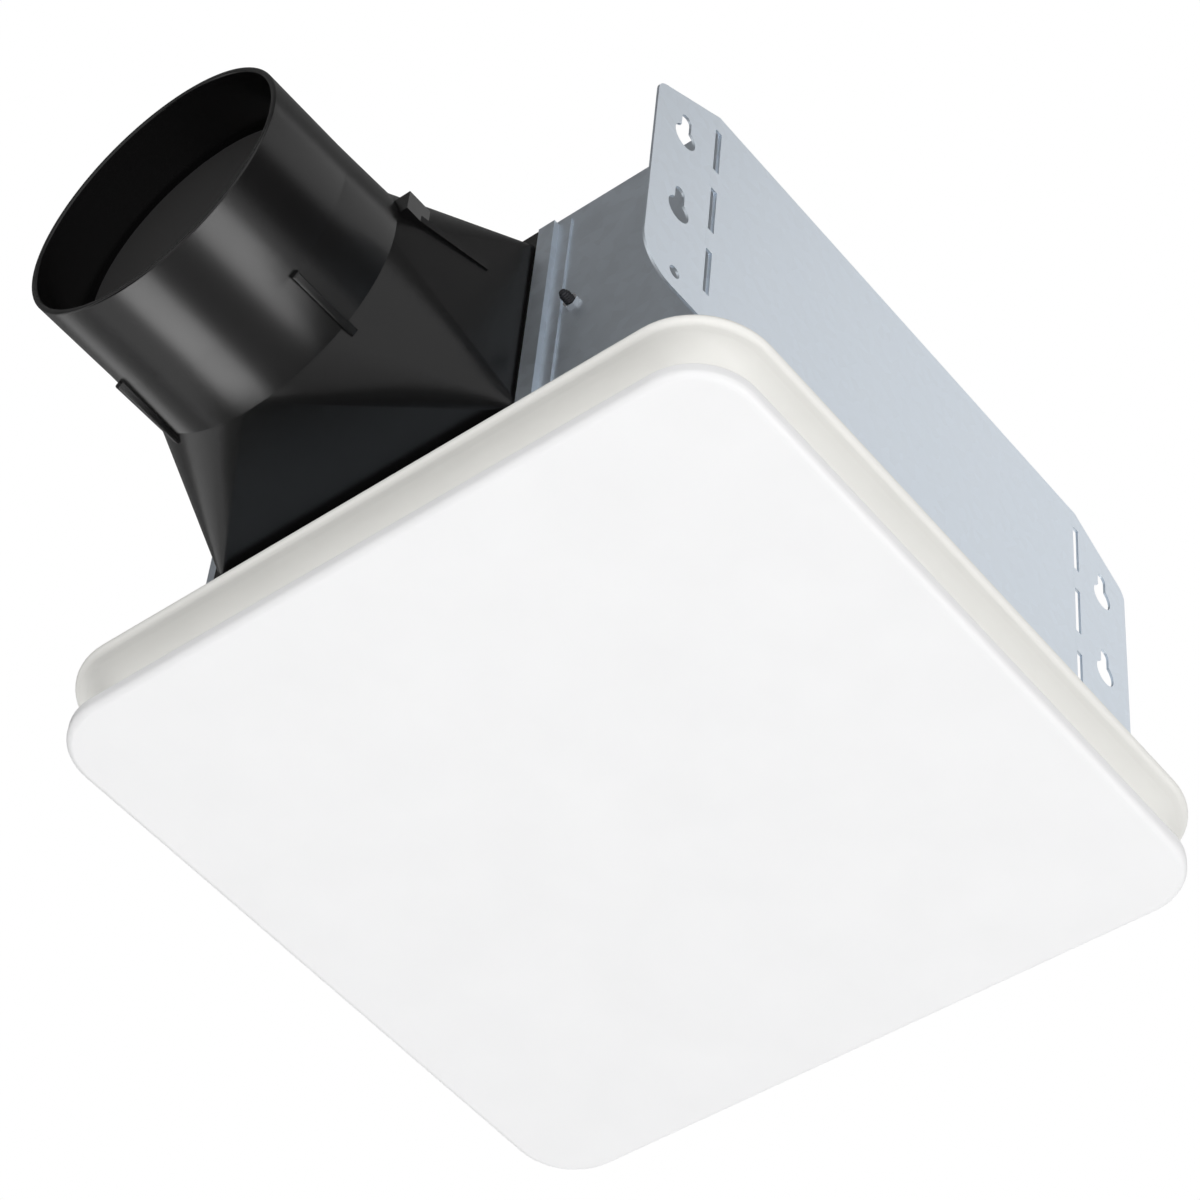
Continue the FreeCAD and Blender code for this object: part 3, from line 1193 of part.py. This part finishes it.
def main():
    os.makedirs("parts", exist_ok=True)
    for name, shape in build().items():
        solids = shape.Solids
        state = "valid" if shape.isValid() else "NOT VALID"
        print("%-20s %2d solid(s) %10.1f mm3 %s" % (name, len(solids), shape.Volume, state))
        shape.exportStep(os.path.join("parts", name + ".step"))


main()
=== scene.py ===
import json
import math

import bpy
from mathutils import Matrix, Vector


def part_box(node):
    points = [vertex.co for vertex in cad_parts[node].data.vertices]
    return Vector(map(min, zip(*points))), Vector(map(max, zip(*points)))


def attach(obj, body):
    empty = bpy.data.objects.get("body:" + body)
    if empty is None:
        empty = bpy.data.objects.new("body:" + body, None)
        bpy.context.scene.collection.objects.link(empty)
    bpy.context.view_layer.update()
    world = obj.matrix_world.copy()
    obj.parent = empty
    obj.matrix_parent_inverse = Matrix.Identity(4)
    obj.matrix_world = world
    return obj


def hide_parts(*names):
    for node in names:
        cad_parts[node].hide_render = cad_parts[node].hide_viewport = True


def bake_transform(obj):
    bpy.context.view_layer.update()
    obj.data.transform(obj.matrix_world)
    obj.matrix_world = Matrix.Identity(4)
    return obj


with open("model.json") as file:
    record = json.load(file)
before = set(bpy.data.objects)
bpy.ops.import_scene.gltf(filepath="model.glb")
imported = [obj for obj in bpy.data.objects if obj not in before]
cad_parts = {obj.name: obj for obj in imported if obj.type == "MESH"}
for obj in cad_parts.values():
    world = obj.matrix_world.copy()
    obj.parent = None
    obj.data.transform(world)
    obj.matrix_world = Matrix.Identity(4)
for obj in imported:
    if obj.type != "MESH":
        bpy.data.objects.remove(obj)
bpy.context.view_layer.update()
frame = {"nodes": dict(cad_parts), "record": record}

# The photograph's camera looks up from below, past the duct's corner of the housing.
CAMERA_PLACE = Vector((-0.6203, -0.5593, -0.8617))
CAMERA_AIM = Vector((-0.0309, -0.0076, 0.0400))
CAMERA_ROLL = 6.13
CAMERA_LENS = 112.79
SENSOR_WIDTH = 36.0

# Two strip boxes have their long sides across the duct. The streaks on its collar give their directions.
DUCT_AXIS = Vector((1.0, 0.0, 0.0))
STREAK_PLACE = Vector((-0.190, 0.010, 0.050))
BOX_DISTANCE = 1.3
BOX_WIDTH = 0.24
BOX_LENGTH = 0.60
BOX_POWER = 3.2
STRIP_BOXES = {
    "front_box": Vector((0.37, -0.66, -0.65)),
    "rear_box": Vector((0.37, 0.42, -0.83)),
}

# Two wide fills and the world light the rest. Each fill has a direction and a power.
FILL_DISTANCE = 1.6
FILL_SIZE = 1.2
FILLS = {
    "fill": (Vector((-0.78, -0.42, -0.47)), 9.0),
    "rear_fill": (Vector((0.70, 0.55, 0.45)), 8.0),
}
AMBIENT = 0.72

# Grey cards keep the duct dark, as a photographer's cards do.
# Each has a direction, a distance, a size and a shade.
MATT = 0.9
CARDS = {
    "top_card": (Vector((-0.30, 0.35, 0.85)), 0.85, 2.2, 0.20),
    "front_card": (Vector((0.37, -0.92, 0.10)), 1.4, 1.0, 0.03),
    "under_card": (Vector((-0.45, 0.62, -0.64)), 1.2, 1.0, 0.03),
    "side_card": (Vector((-0.15, -0.66, 0.74)), 1.2, 0.8, 0.22),
    "low_card": (Vector((0.42, -0.12, -0.90)), 1.7, 1.0, 0.60),
    "rear_card": (Vector((0.37, 0.92, -0.10)), 1.4, 0.6, 0.40),
}

# The floor is far below, because the fan hangs from a ceiling.
FLOOR_HEIGHT = -2.0
FLOOR_REACH = 2.5
FLOOR_SIZE = 14.0
FLOOR_GREY = 0.86

# For all meshes: the least angle of a sharp edge in degrees, the decimals in which points of one place agree,
# and the sides of a round wire.
SHARP_ANGLE = 40.0
PLACE_DECIMALS = 7
WIRE_SIDES = 12

# Screws, in metres. The head and the shank have the sizes of the solids.
SCREW_HEAD = 0.0024
SCREW_HEAD_RADIUS = 0.0032
SCREW_RADIUS = 0.0020
SCREW_SIDES = 48
HEAD_STEPS = 24
THREAD_PITCH = 0.0008
THREAD_DEPTH = 0.0004
THREAD_STEPS = 8
TIP_TURNS = 2.0
TIP_SHARE = 0.6
RECESS_DEPTH = 0.0013
RECESS_REACH = 0.0018
RECESS_WIDTH = 0.0005
RECESS_TOP_SHARE = 1.25
RECESS_FLOOR_SHARE = 0.8
RECESS_SLOPE_SHARE = 0.35

# Grille springs, in metres and degrees, as in the solids.
WIRE_RADIUS = 0.0009
COIL_RADIUS = 0.0046
COIL_PLACE = Vector((0.0, 0.0971, -0.0067))
COIL_PITCH = 0.0026
COIL_START = 215.0
COIL_ANGLE = 830.0
COIL_STEPS = 83
LEG_LENGTH = 0.062
LEG_STEPS = 62
LEG_BEND = 0.003
BEND_STEPS = 8
LEG_HOOK = 0.006

# Motor windings, in metres and degrees. Each layer has nested strands, and an outer one is wider and rounder.
WINDING_INNER = 0.0205
END_TURN_HEIGHT = 0.006
POLE_COUNT = 4
STRAND_RADIUS = 0.0007
STRAND_LAYERS = 4
STRAND_HALF_TURN = 27.5
STRAND_TURN_STEP = 4.0
STRAND_CORNER = 0.0020
STRAND_CORNER_STEP = 0.0010
CORNER_STEPS = 6
SPAN_STEPS = 8

# Fold lines of the ears, in metres. The lands are the heights where sheet is left between the slots.
FOLD_X = 0.10195
FOLD_REACH = 0.0022
FOLD_BEND = 0.0007
FOLD_STEPS = 6
FOLD_PROUD = 0.00005
FOLD_EDGE_PROUD = 0.00001
EAR_TOP = 0.1460
EAR_TOP_SLOPE = 0.498
SHEET_FACE = -0.1041
FOLD_LANDS = [(0.0390, 0.0523), (0.0740, 0.0842), (0.1059, 0.1161), (0.1378, 0.1460)]


def feed(tree, socket, value):
    """Links another node's output to the socket, or sets the socket to a plain value."""
    if isinstance(value, bpy.types.NodeSocket):
        tree.links.new(value, socket)
    else:
        socket.default_value = value


def calculate(tree, operation, *values):
    """Output of a math node."""
    node = tree.nodes.new("ShaderNodeMath")
    node.operation = operation
    for socket, value in zip(node.inputs, values):
        feed(tree, socket, value)
    return node.outputs["Value"]


class Surface:
    """A procedural material: one Principled shader and the textures that drive its sockets."""

    def __init__(self, name, colour, **constants):
        self.material = bpy.data.materials.new(name)
        self.material.use_nodes = True
        self.tree = self.material.node_tree
        self.shader = self.tree.nodes["Principled BSDF"]
        self.drive("Base Color", (*colour, 1.0))
        for socket, value in constants.items():
            self.drive(socket.replace("_", " "), value)
        self.place = self.add("ShaderNodeTexCoord").outputs["Object"]

    def add(self, kind, **inputs):
        """A new node. Its inputs are named with underscores for their spaces."""
        node = self.tree.nodes.new(kind)
        for socket, value in inputs.items():
            feed(self.tree, node.inputs[socket.replace("_", " ")], value)
        return node

    def drive(self, socket, value):
        """Feeds one of the shader's sockets."""
        feed(self.tree, self.shader.inputs[socket], value)

    def noise(self, scale, detail=2.0):
        """Soft noise from 0 to 1. The scale is in waves per metre."""
        return self.add("ShaderNodeTexNoise", Vector=self.place, Scale=scale, Detail=detail).outputs["Fac"]

    def cells(self, scale):
        """One random value from 0 to 1 for each crystal-like cell."""
        colour = self.add("ShaderNodeTexVoronoi", Vector=self.place, Scale=scale).outputs["Color"]
        return self.add("ShaderNodeSeparateColor", Color=colour).outputs["Red"]

    def layers(self, pitch):
        """Stacked layers along Z, from 0 to 1 through each one. At scale 1 a wave's period is pi / 10."""
        wave = self.add("ShaderNodeTexWave", Vector=self.place, Scale=math.pi / 10.0 / pitch)
        wave.bands_direction = "Z"
        return wave.outputs["Fac"]

    def spread(self, value, low, high):
        """The value's range from 0 to 1, laid out from low to high."""
        return self.add("ShaderNodeMapRange", Value=value, To_Min=low, To_Max=high).outputs["Result"]

    def blend(self, first, second, share):
        """Two values from 0 to 1 as one, the second with the given share."""
        return calculate(self.tree, "MULTIPLY_ADD", first, 1.0 - share, self.spread(second, 0.0, share))

    def tint(self, value, low, high):
        """Colours the surface from low to high by the value."""
        colours = self.add("ShaderNodeValToRGB", Fac=value)
        for element, colour in zip(colours.color_ramp.elements, (low, high)):
            element.color = (*colour, 1.0)
        self.drive("Base Color", colours.outputs["Color"])

    def polish(self, value, low, high):
        """Sets the roughness from low to high by the value."""
        self.drive("Roughness", self.spread(value, low, high))

    def relief(self, value, height):
        """Raises the surface by the value, up to the height in metres."""
        bump = self.add("ShaderNodeBump", Height=value, Distance=height)
        self.drive("Normal", bump.outputs["Normal"])


def shade(colour, share):
    """The colour, darker or lighter by the share."""
    return tuple(channel * share for channel in colour)


def galvanised():
    """Zinc-coated sheet: faint crystal cells, slow clouds and a fine grain."""
    colour = (0.745, 0.805, 0.870)
    surface = Surface("galvanised", colour, Metallic=1.0)
    cells = surface.cells(230.0)
    clouds = surface.noise(26.0, 3.0)
    mottle = surface.blend(cells, clouds, 0.6)
    surface.tint(mottle, shade(colour, 0.91), shade(colour, 1.06))
    surface.polish(mottle, 0.42, 0.54)
    surface.relief(surface.noise(900.0, 3.0), 0.00002)
    return surface.material


def plated(name, colour, roughness, metallic=1.0):
    """Plated fastener metal with slight tarnish."""
    surface = Surface(name, colour, Metallic=metallic)
    tarnish = surface.noise(420.0, 3.0)
    surface.tint(tarnish, shade(colour, 0.86), shade(colour, 1.06))
    surface.polish(tarnish, roughness * 0.8, roughness * 1.25)
    return surface.material


def moulded(name, colour, roughness, specular, grain_scale, grain_height):
    """Moulded plastic: an even colour, slight flow marks and a fine skin."""
    surface = Surface(name, colour, Specular_IOR_Level=specular)
    flow = surface.noise(34.0, 2.0)
    surface.tint(flow, shade(colour, 0.97), shade(colour, 1.02))
    surface.polish(flow, roughness * 0.92, roughness * 1.08)
    surface.relief(surface.noise(grain_scale, 2.0), grain_height)
    return surface.material


def cast_alloy():
    """Die-cast motor housing."""
    colour = (0.60, 0.61, 0.62)
    surface = Surface("bell_alloy", colour, Metallic=1.0)
    skin_noise = surface.noise(520.0, 4.0)
    surface.tint(skin_noise, shade(colour, 0.85), shade(colour, 1.05))
    surface.polish(skin_noise, 0.42, 0.60)
    surface.relief(skin_noise, 0.00015)
    return surface.material


def laminated():
    """Stacked steel sheets of the motor core."""
    colour = (0.30, 0.31, 0.33)
    surface = Surface("core_steel", colour, Metallic=0.9)
    sheets = surface.layers(0.0005)
    surface.tint(sheets, shade(colour, 0.55), shade(colour, 1.1))
    surface.polish(surface.noise(300.0, 3.0), 0.38, 0.55)
    surface.relief(sheets, 0.00006)
    return surface.material


FINISHES = {
    "galvanised": galvanised(),
    "zinc": plated("zinc", (0.72, 0.73, 0.75), 0.26),
    "dark_screw": plated("dark_screw", (0.035, 0.035, 0.04), 0.34, 0.6),
    "green_screw": plated("green_screw", (0.05, 0.32, 0.12), 0.32, 0.7),
    "black_plastic": moulded("black_plastic", (0.0052, 0.0050, 0.0051), 0.26, 0.40, 1500.0, 0.00001),
    "socket_plastic": moulded("socket_plastic", (0.06, 0.06, 0.064), 0.5, 0.4, 1500.0, 0.00002),
    "wheel_plastic": moulded("wheel_plastic", (0.15, 0.155, 0.165), 0.46, 0.4, 1300.0, 0.00002),
    "panel_plastic": moulded("panel_plastic", (0.90, 0.90, 0.905), 0.42, 0.35, 1100.0, 0.000006),
    "frame_plastic": moulded("frame_plastic", (0.885, 0.878, 0.845), 0.45, 0.35, 1100.0, 0.000006),
    "spring_wire": plated("spring_wire", (0.56, 0.56, 0.58), 0.28),
    "bell_alloy": cast_alloy(),
    "core_steel": laminated(),
    "winding_wire": plated("winding_wire", (0.62, 0.27, 0.13), 0.28, 0.9),
    "bearing_bronze": plated("bearing_bronze", (0.58, 0.42, 0.22), 0.4),
    "grommet_rubber": moulded("grommet_rubber", (0.022, 0.022, 0.024), 0.7, 0.3, 900.0, 0.00003),
}
# The flap's finish is a rougher copy of the black plastic. Its lighter colour is painted light for the light
# that reaches the flap inside the duct's bore.
FLAP_FINISH_PAINTED_LIGHT = moulded("flap_plastic_painted_light", (0.030, 0.0295, 0.0295), 0.5, 0.3, 1500.0, 0.00001)


def finish_nodes():
    """Gives each CAD node the finish of its material slot. The flap gets a duller black than the connector,
    made lighter by painted light for the light inside the duct's bore.
    """
    for row in frame["record"]["subparts"]:
        materials = frame["nodes"][row["node"]].data.materials
        materials.clear()
        materials.append(FLAP_FINISH_PAINTED_LIGHT if row["node"] == "damper_flap" else FINISHES[row["material_slot"]])


def skin(rings, closed=False):
    """Points and faces over rings of points. An open run is capped, a closed one joins its two ends."""
    count = len(rings[0])
    points = [point for ring in rings for point in ring]
    faces = []
    for row in range(len(rings) if closed else len(rings) - 1):
        following = (row + 1) % len(rings)
        for i in range(count):
            j = (i + 1) % count
            faces.append((row * count + i, row * count + j, following * count + j, following * count + i))
    if not closed:
        faces.append(tuple(range(count - 1, -1, -1)))
        faces.append(tuple(range(len(points) - count, len(points))))
    return points, faces


def tube(path, sides, radius, closed=False):
    """Round wire along a path. The side vectors, one for each point, keep its rings from twisting."""
    rings = []
    last = len(path) - 1
    for i, point in enumerate(path):
        before = path[i - 1] if i > 0 or closed else point
        after = path[(i + 1) % len(path)] if i < last or closed else point
        heading = (after - before).normalized()
        across = (sides[i] - heading * sides[i].dot(heading)).normalized()
        up = heading.cross(across)
        ring = []
        for k in range(WIRE_SIDES):
            turn = math.tau * k / WIRE_SIDES
            ring.append(point + (across * math.cos(turn) + up * math.sin(turn)) * radius)
        rings.append(ring)
    return skin(rings, closed)


def make_piece(name, parts, slot, *nodes):
    """One object out of lists of points and faces, finished by its slot. It stands for the CAD nodes."""
    points = []
    faces = []
    for part_points, part_faces in parts:
        start = len(points)
        points += part_points
        faces += [tuple(start + i for i in face) for face in part_faces]
    mesh = bpy.data.meshes.new(name)
    mesh.from_pydata(points, [], faces)
    mesh.shade_smooth()
    mesh.set_sharp_from_angle(angle=math.radians(SHARP_ANGLE))
    mesh.materials.append(FINISHES[slot])
    piece = bpy.data.objects.new(name, mesh)
    bpy.context.scene.collection.objects.link(piece)
    if nodes:
        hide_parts(*nodes)
    return piece


def ramp(value, start, end):
    """0 before the start and 1 after the end, with a straight rise between them."""
    return min(1.0, max(0.0, (value - start) / (end - start)))


def recess(x, y):
    """Depth of a cross recess in a screw head."""
    arms = []
    for along, across in ((abs(x), abs(y)), (abs(y), abs(x))):
        wall = ramp(across, RECESS_WIDTH * RECESS_TOP_SHARE, RECESS_WIDTH * RECESS_FLOOR_SHARE)
        arms.append(wall * ramp(along, RECESS_REACH, RECESS_REACH * RECESS_SLOPE_SHARE))
    return RECESS_DEPTH * max(arms)


def around(radius, turn, height):
    """Point at a radius, an angle and a height about the Z axis."""
    return Vector((radius * math.cos(turn), radius * math.sin(turn), height))


def screw_rings(length):
    """Rings of a pan-head screw along Z: its head below zero, its threaded shank up to the length."""
    turns = [math.tau * i / SCREW_SIDES for i in range(SCREW_SIDES)]
    round_start = SCREW_HEAD_RADIUS - SCREW_HEAD / 2.0
    rings = []
    for step in range(1, HEAD_STEPS + 1):
        radius = SCREW_HEAD_RADIUS * step / HEAD_STEPS
        drop = max(0.0, radius - round_start) / (SCREW_HEAD / 2.0)
        top = -SCREW_HEAD / 2.0 * (1.0 + math.sqrt(1.0 - min(1.0, drop * drop)))
        ring = []
        for turn in turns:
            x = radius * math.cos(turn)
            y = radius * math.sin(turn)
            ring.append(Vector((x, y, top + recess(x, y))))
        rings.append(ring)
    rings.append([around(SCREW_HEAD_RADIUS, turn, 0.0) for turn in turns])
    steps = math.ceil(length / THREAD_PITCH * THREAD_STEPS)
    for step in range(steps + 1):
        z = length * step / steps
        thickness = TIP_SHARE + (1.0 - TIP_SHARE) * ramp(z, length, length - TIP_TURNS * THREAD_PITCH)
        ring = []
        for turn in turns:
            phase = (z / THREAD_PITCH + turn / math.tau) % 1.0
            crest = abs(2.0 * phase - 1.0)
            ring.append(around((SCREW_RADIUS - THREAD_DEPTH * crest) * thickness, turn, z))
        rings.append(ring)
    return rings


def islands(node):
    """Lowest and highest corners of each separate solid of a CAD node."""
    mesh = frame["nodes"][node].data
    owner = list(range(len(mesh.vertices)))

    def root(i):
        while owner[i] != i:
            owner[i] = owner[owner[i]]
            i = owner[i]
        return i

    places = {}
    for vertex in mesh.vertices:
        key = tuple(round(axis, PLACE_DECIMALS) for axis in vertex.co)
        owner[root(vertex.index)] = root(places.setdefault(key, vertex.index))
    for edge in mesh.edges:
        owner[root(edge.vertices[0])] = root(edge.vertices[1])
    boxes = {}
    for vertex in mesh.vertices:
        low, high = boxes.setdefault(root(vertex.index), (vertex.co.copy(), vertex.co.copy()))
        for axis in range(3):
            low[axis] = min(low[axis], vertex.co[axis])
            high[axis] = max(high[axis], vertex.co[axis])
    return list(boxes.values())


def make_screws(node, direction, slot, body):
    """Recessed and threaded screws in the places of a node's plain ones; the direction is the shank's."""
    parts = []
    for low, high in islands(node):
        middle = (low + high) / 2.0
        half = abs((high - low).dot(direction)) / 2.0
        seat = middle - direction * (half - SCREW_HEAD)
        turn = direction.to_track_quat("Z", "Y").to_matrix()
        rings = [[seat + turn @ point for point in ring] for ring in screw_rings(2.0 * half - SCREW_HEAD)]
        parts.append(skin(rings))
    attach(make_piece(node + "_detail", parts, slot, node), body)


def make_spring(node, side):
    """Torsion spring: its coil goes with the grille, and each leg is drawn at rest between grille and
    housing.
    """
    middle = Vector((COIL_PLACE.x, side * COIL_PLACE.y, COIL_PLACE.z))
    across = Vector((0.0, 1.0, 0.0))
    length = COIL_PITCH * COIL_ANGLE / 360.0
    lean = math.radians(COIL_START - 180.0)
    path = []
    for step in range(COIL_STEPS + 1):
        angle = math.radians(COIL_START + COIL_ANGLE * step / COIL_STEPS)
        path.append(middle + Vector((COIL_RADIUS * math.cos(angle), length * (step / COIL_STEPS - 0.5),
                                     COIL_RADIUS * math.sin(angle))))
    coil = make_piece(node + "_coil", [tube(path, [across] * len(path), WIRE_RADIUS)], "spring_wire", node)
    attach(coil, "grille")
    for hand, foot in ((-1.0, path[0]), (1.0, path[-1])):
        heading = Vector((hand * math.sin(lean), 0.0, math.cos(lean)))
        outward = Vector((hand, 0.0, 0.0))
        inward = (outward - heading * heading.dot(outward)).normalized()
        leg = [foot + heading * (LEG_LENGTH * step / LEG_STEPS) for step in range(LEG_STEPS + 1)]
        bend = heading.angle(outward)
        centre = leg[-1] + inward * LEG_BEND
        for step in range(1, BEND_STEPS + 1):
            turn = bend * step / BEND_STEPS
            leg.append(centre + (heading * math.sin(turn) - inward * math.cos(turn)) * LEG_BEND)
        leg.append(leg[-1] + outward * LEG_HOOK)
        name = node + ("_left_leg" if hand < 0 else "_right_leg")
        piece = make_piece(name, [tube(leg, [across] * len(leg), WIRE_RADIUS)], "spring_wire", node)
        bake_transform(piece)


def strand_loop(axis, radius, middle, half_turn, half_height, corner):
    """One turn of wire on a cylinder: a rounded rectangle of an angle and a height."""
    outline = []
    for quarter, (wide, tall) in enumerate(((1, 1), (-1, 1), (-1, -1), (1, -1))):
        for step in range(CORNER_STEPS + 1):
            turn = math.radians(90.0 * quarter + 90.0 / CORNER_STEPS * step)
            outline.append((wide * (half_turn - corner / radius) + corner / radius * math.cos(turn),
                            tall * (half_height - corner) + corner * math.sin(turn)))
        if wide * tall > 0:
            across = wide * (half_turn - corner / radius)
            for step in range(1, SPAN_STEPS):
                outline.append((across * (1.0 - 2.0 * step / SPAN_STEPS), tall * half_height))
    path = []
    sides = []
    for angle, height in outline:
        side = around(1.0, middle + angle, 0.0)
        path.append(axis + side * radius + Vector((0.0, 0.0, height)))
        sides.append(side)
    return tube(path, sides, STRAND_RADIUS, closed=True)


def make_windings():
    """Wound coil round each pole: strands that run through two slots and over both ends of the core."""
    low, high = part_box("windings")
    axis = (low + high) / 2.0
    outer = (high.x - low.x) / 2.0
    core = (high.z - low.z) / 2.0 - END_TURN_HEIGHT
    gap = (outer - WINDING_INNER) / STRAND_LAYERS
    rise = END_TURN_HEIGHT / STRAND_LAYERS
    strands = []
    for pole in range(POLE_COUNT):
        middle = math.radians(360.0 / POLE_COUNT * (pole + 0.5))
        for layer in range(STRAND_LAYERS):
            radius = WINDING_INNER + gap * (layer + 0.5)
            for nest in range(STRAND_LAYERS):
                half_turn = math.radians(STRAND_HALF_TURN + STRAND_TURN_STEP * nest)
                half_height = core + rise * (nest + 0.5)
                corner = STRAND_CORNER + STRAND_CORNER_STEP * nest
                strands.append(strand_loop(axis, radius, middle, half_turn, half_height, corner))
    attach(make_piece("wound_poles", strands, "winding_wire", "windings"), "housing")


def make_fold_lands(body, hand):
    """Bridges of sheet between the perforations of a fold line, drawn where the ear stands at rest."""
    bends = [FOLD_BEND * step / FOLD_STEPS for step in range(-FOLD_STEPS, FOLD_STEPS + 1)]
    steps = [-FOLD_REACH] + bends + [FOLD_REACH]
    back = SHEET_FACE + FOLD_PROUD
    parts = []
    for low, high in FOLD_LANDS:
        rings = []
        for step in steps:
            x = hand * (FOLD_X + step)
            front = SHEET_FACE - (FOLD_EDGE_PROUD if abs(step) > FOLD_BEND else FOLD_PROUD)
            top = min(high, EAR_TOP - EAR_TOP_SLOPE * max(0.0, step))
            corners = ((front, low), (front, top), (back, top), (back, low))
            rings.append([Vector((x, y, z)) for y, z in corners][::int(hand)])
        parts.append(skin(rings))
    piece = make_piece(body + "_fold", parts, "galvanised")
    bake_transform(piece)


def square(name, size, place, facing):
    """A flat square sheet of the set, which isn't part of the object."""
    mesh = bpy.data.meshes.new(name)
    half = size / 2.0
    corners = [(-half, -half, 0.0), (half, -half, 0.0), (half, half, 0.0), (-half, half, 0.0)]
    mesh.from_pydata(corners, [], [(0, 1, 2, 3)])
    sheet = bpy.data.objects.new(name, mesh)
    sheet.location = place
    sheet.rotation_euler = facing.to_track_quat("Z", "Y").to_euler()
    bpy.context.scene.collection.objects.link(sheet)
    return sheet


def seen_directly(tree):
    """1 where a ray comes from the camera or by reflection or refraction, and 0 for diffuse light."""
    path = tree.nodes.new("ShaderNodeLightPath").outputs
    seen = calculate(tree, "MAXIMUM", path["Is Camera Ray"], path["Is Glossy Ray"])
    return calculate(tree, "MAXIMUM", seen, path["Is Transmission Ray"])


def make_world():
    """White where it is seen, and a lower even light on the object."""
    world = bpy.data.worlds.new("studio")
    world.use_nodes = True
    bpy.context.scene.world = world
    tree = world.node_tree
    background = tree.nodes["Background"]
    background.inputs["Color"].default_value = (1.0, 1.0, 1.0, 1.0)
    strength = tree.nodes.new("ShaderNodeMapRange")
    strength.inputs["To Min"].default_value = AMBIENT
    strength.inputs["To Max"].default_value = 1.0
    feed(tree, strength.inputs["Value"], seen_directly(tree))
    feed(tree, background.inputs["Strength"], strength.outputs["Result"])


def make_floor():
    """Pale floor that fades into the white world."""
    floor = square("floor", FLOOR_SIZE, Vector((0.0, 0.0, FLOOR_HEIGHT)), Vector((0.0, 0.0, 1.0)))
    surface = Surface("floor", (FLOOR_GREY,) * 3, Roughness=MATT)
    tree = surface.tree
    reach = (1.0 / FLOOR_REACH,) * 3
    place = surface.add("ShaderNodeMapping", Vector=surface.place, Scale=reach).outputs["Vector"]
    fade = surface.add("ShaderNodeTexGradient", Vector=place)
    fade.gradient_type = "SPHERICAL"
    away = surface.spread(fade.outputs["Fac"], 1.0, 0.0)
    share = calculate(tree, "MULTIPLY", away, seen_directly(tree))
    white = surface.add("ShaderNodeEmission").outputs["Emission"]
    mix = surface.add("ShaderNodeMixShader")
    for socket, value in zip(mix.inputs, (share, surface.shader.outputs["BSDF"], white)):
        feed(tree, socket, value)
    feed(tree, tree.nodes["Material Output"].inputs["Surface"], mix.outputs["Shader"])
    floor.data.materials.append(surface.material)


def make_card(name, direction, distance, size, grey):
    """Grey card that faces the object. It shows only in reflections and by the light that it takes."""
    card = square(name, size, direction.normalized() * distance, -direction)
    card.data.materials.append(Surface(name, (grey,) * 3, Roughness=MATT).material)
    card.visible_camera = False


def make_soft_box(name, place, direction, width, length, power, mirrored):
    """Area light at a place, shining against its direction, with its length across the duct.

    Only a mirrored one shows in reflections.
    """
    lamp = bpy.data.lights.new(name, "AREA")
    lamp.shape = "RECTANGLE"
    lamp.size = width
    lamp.size_y = length
    lamp.energy = power
    box = bpy.data.objects.new(name, lamp)
    box.location = place
    away = direction.normalized()
    across = DUCT_AXIS.cross(away).normalized()
    box.rotation_euler = Matrix((across.cross(away), across, away)).transposed().to_euler()
    box.visible_camera = False
    box.visible_glossy = mirrored
    bpy.context.scene.collection.objects.link(box)


def make_camera():
    """The photograph's camera, rolled about its line of sight."""
    lens = bpy.data.cameras.new("camera")
    lens.lens = CAMERA_LENS
    lens.sensor_width = SENSOR_WIDTH
    camera = bpy.data.objects.new("camera", lens)
    camera.location = CAMERA_PLACE
    level = (CAMERA_AIM - CAMERA_PLACE).to_track_quat("-Z", "Y").to_matrix()
    camera.rotation_euler = (level @ Matrix.Rotation(math.radians(CAMERA_ROLL), 3, "Z")).to_euler()
    bpy.context.scene.collection.objects.link(camera)
    bpy.context.scene.camera = camera


finish_nodes()
make_screws("wall_screw", Vector((-1.0, 0.0, 0.0)), "dark_screw", "housing")
make_screws("connector_screws", Vector((1.0, 0.0, 0.0)), "zinc", "housing")
make_screws("cover_screw", Vector((1.0, 0.0, 0.0)), "zinc", "housing")
make_screws("ground_screw", Vector((1.0, 0.0, 0.0)), "green_screw", "housing")
make_screws("inlet_plate_screws", Vector((0.0, 0.0, 1.0)), "zinc", "housing")
make_spring("front_grille_spring", -1.0)
make_spring("rear_grille_spring", 1.0)
make_windings()
make_fold_lands("left_ear", -1.0)
make_fold_lands("right_ear", 1.0)

make_world()
make_floor()
for name, (direction, distance, size, grey) in CARDS.items():
    make_card(name, direction, distance, size, grey)
for name, direction in STRIP_BOXES.items():
    place = STREAK_PLACE + direction.normalized() * BOX_DISTANCE
    make_soft_box(name, place, direction, BOX_WIDTH, BOX_LENGTH, BOX_POWER, mirrored=True)
for name, (direction, power) in FILLS.items():
    place = direction.normalized() * FILL_DISTANCE
    make_soft_box(name, place, direction, FILL_SIZE, FILL_SIZE, power, mirrored=False)
make_camera()
bpy.context.scene.view_settings.view_transform = "Standard"
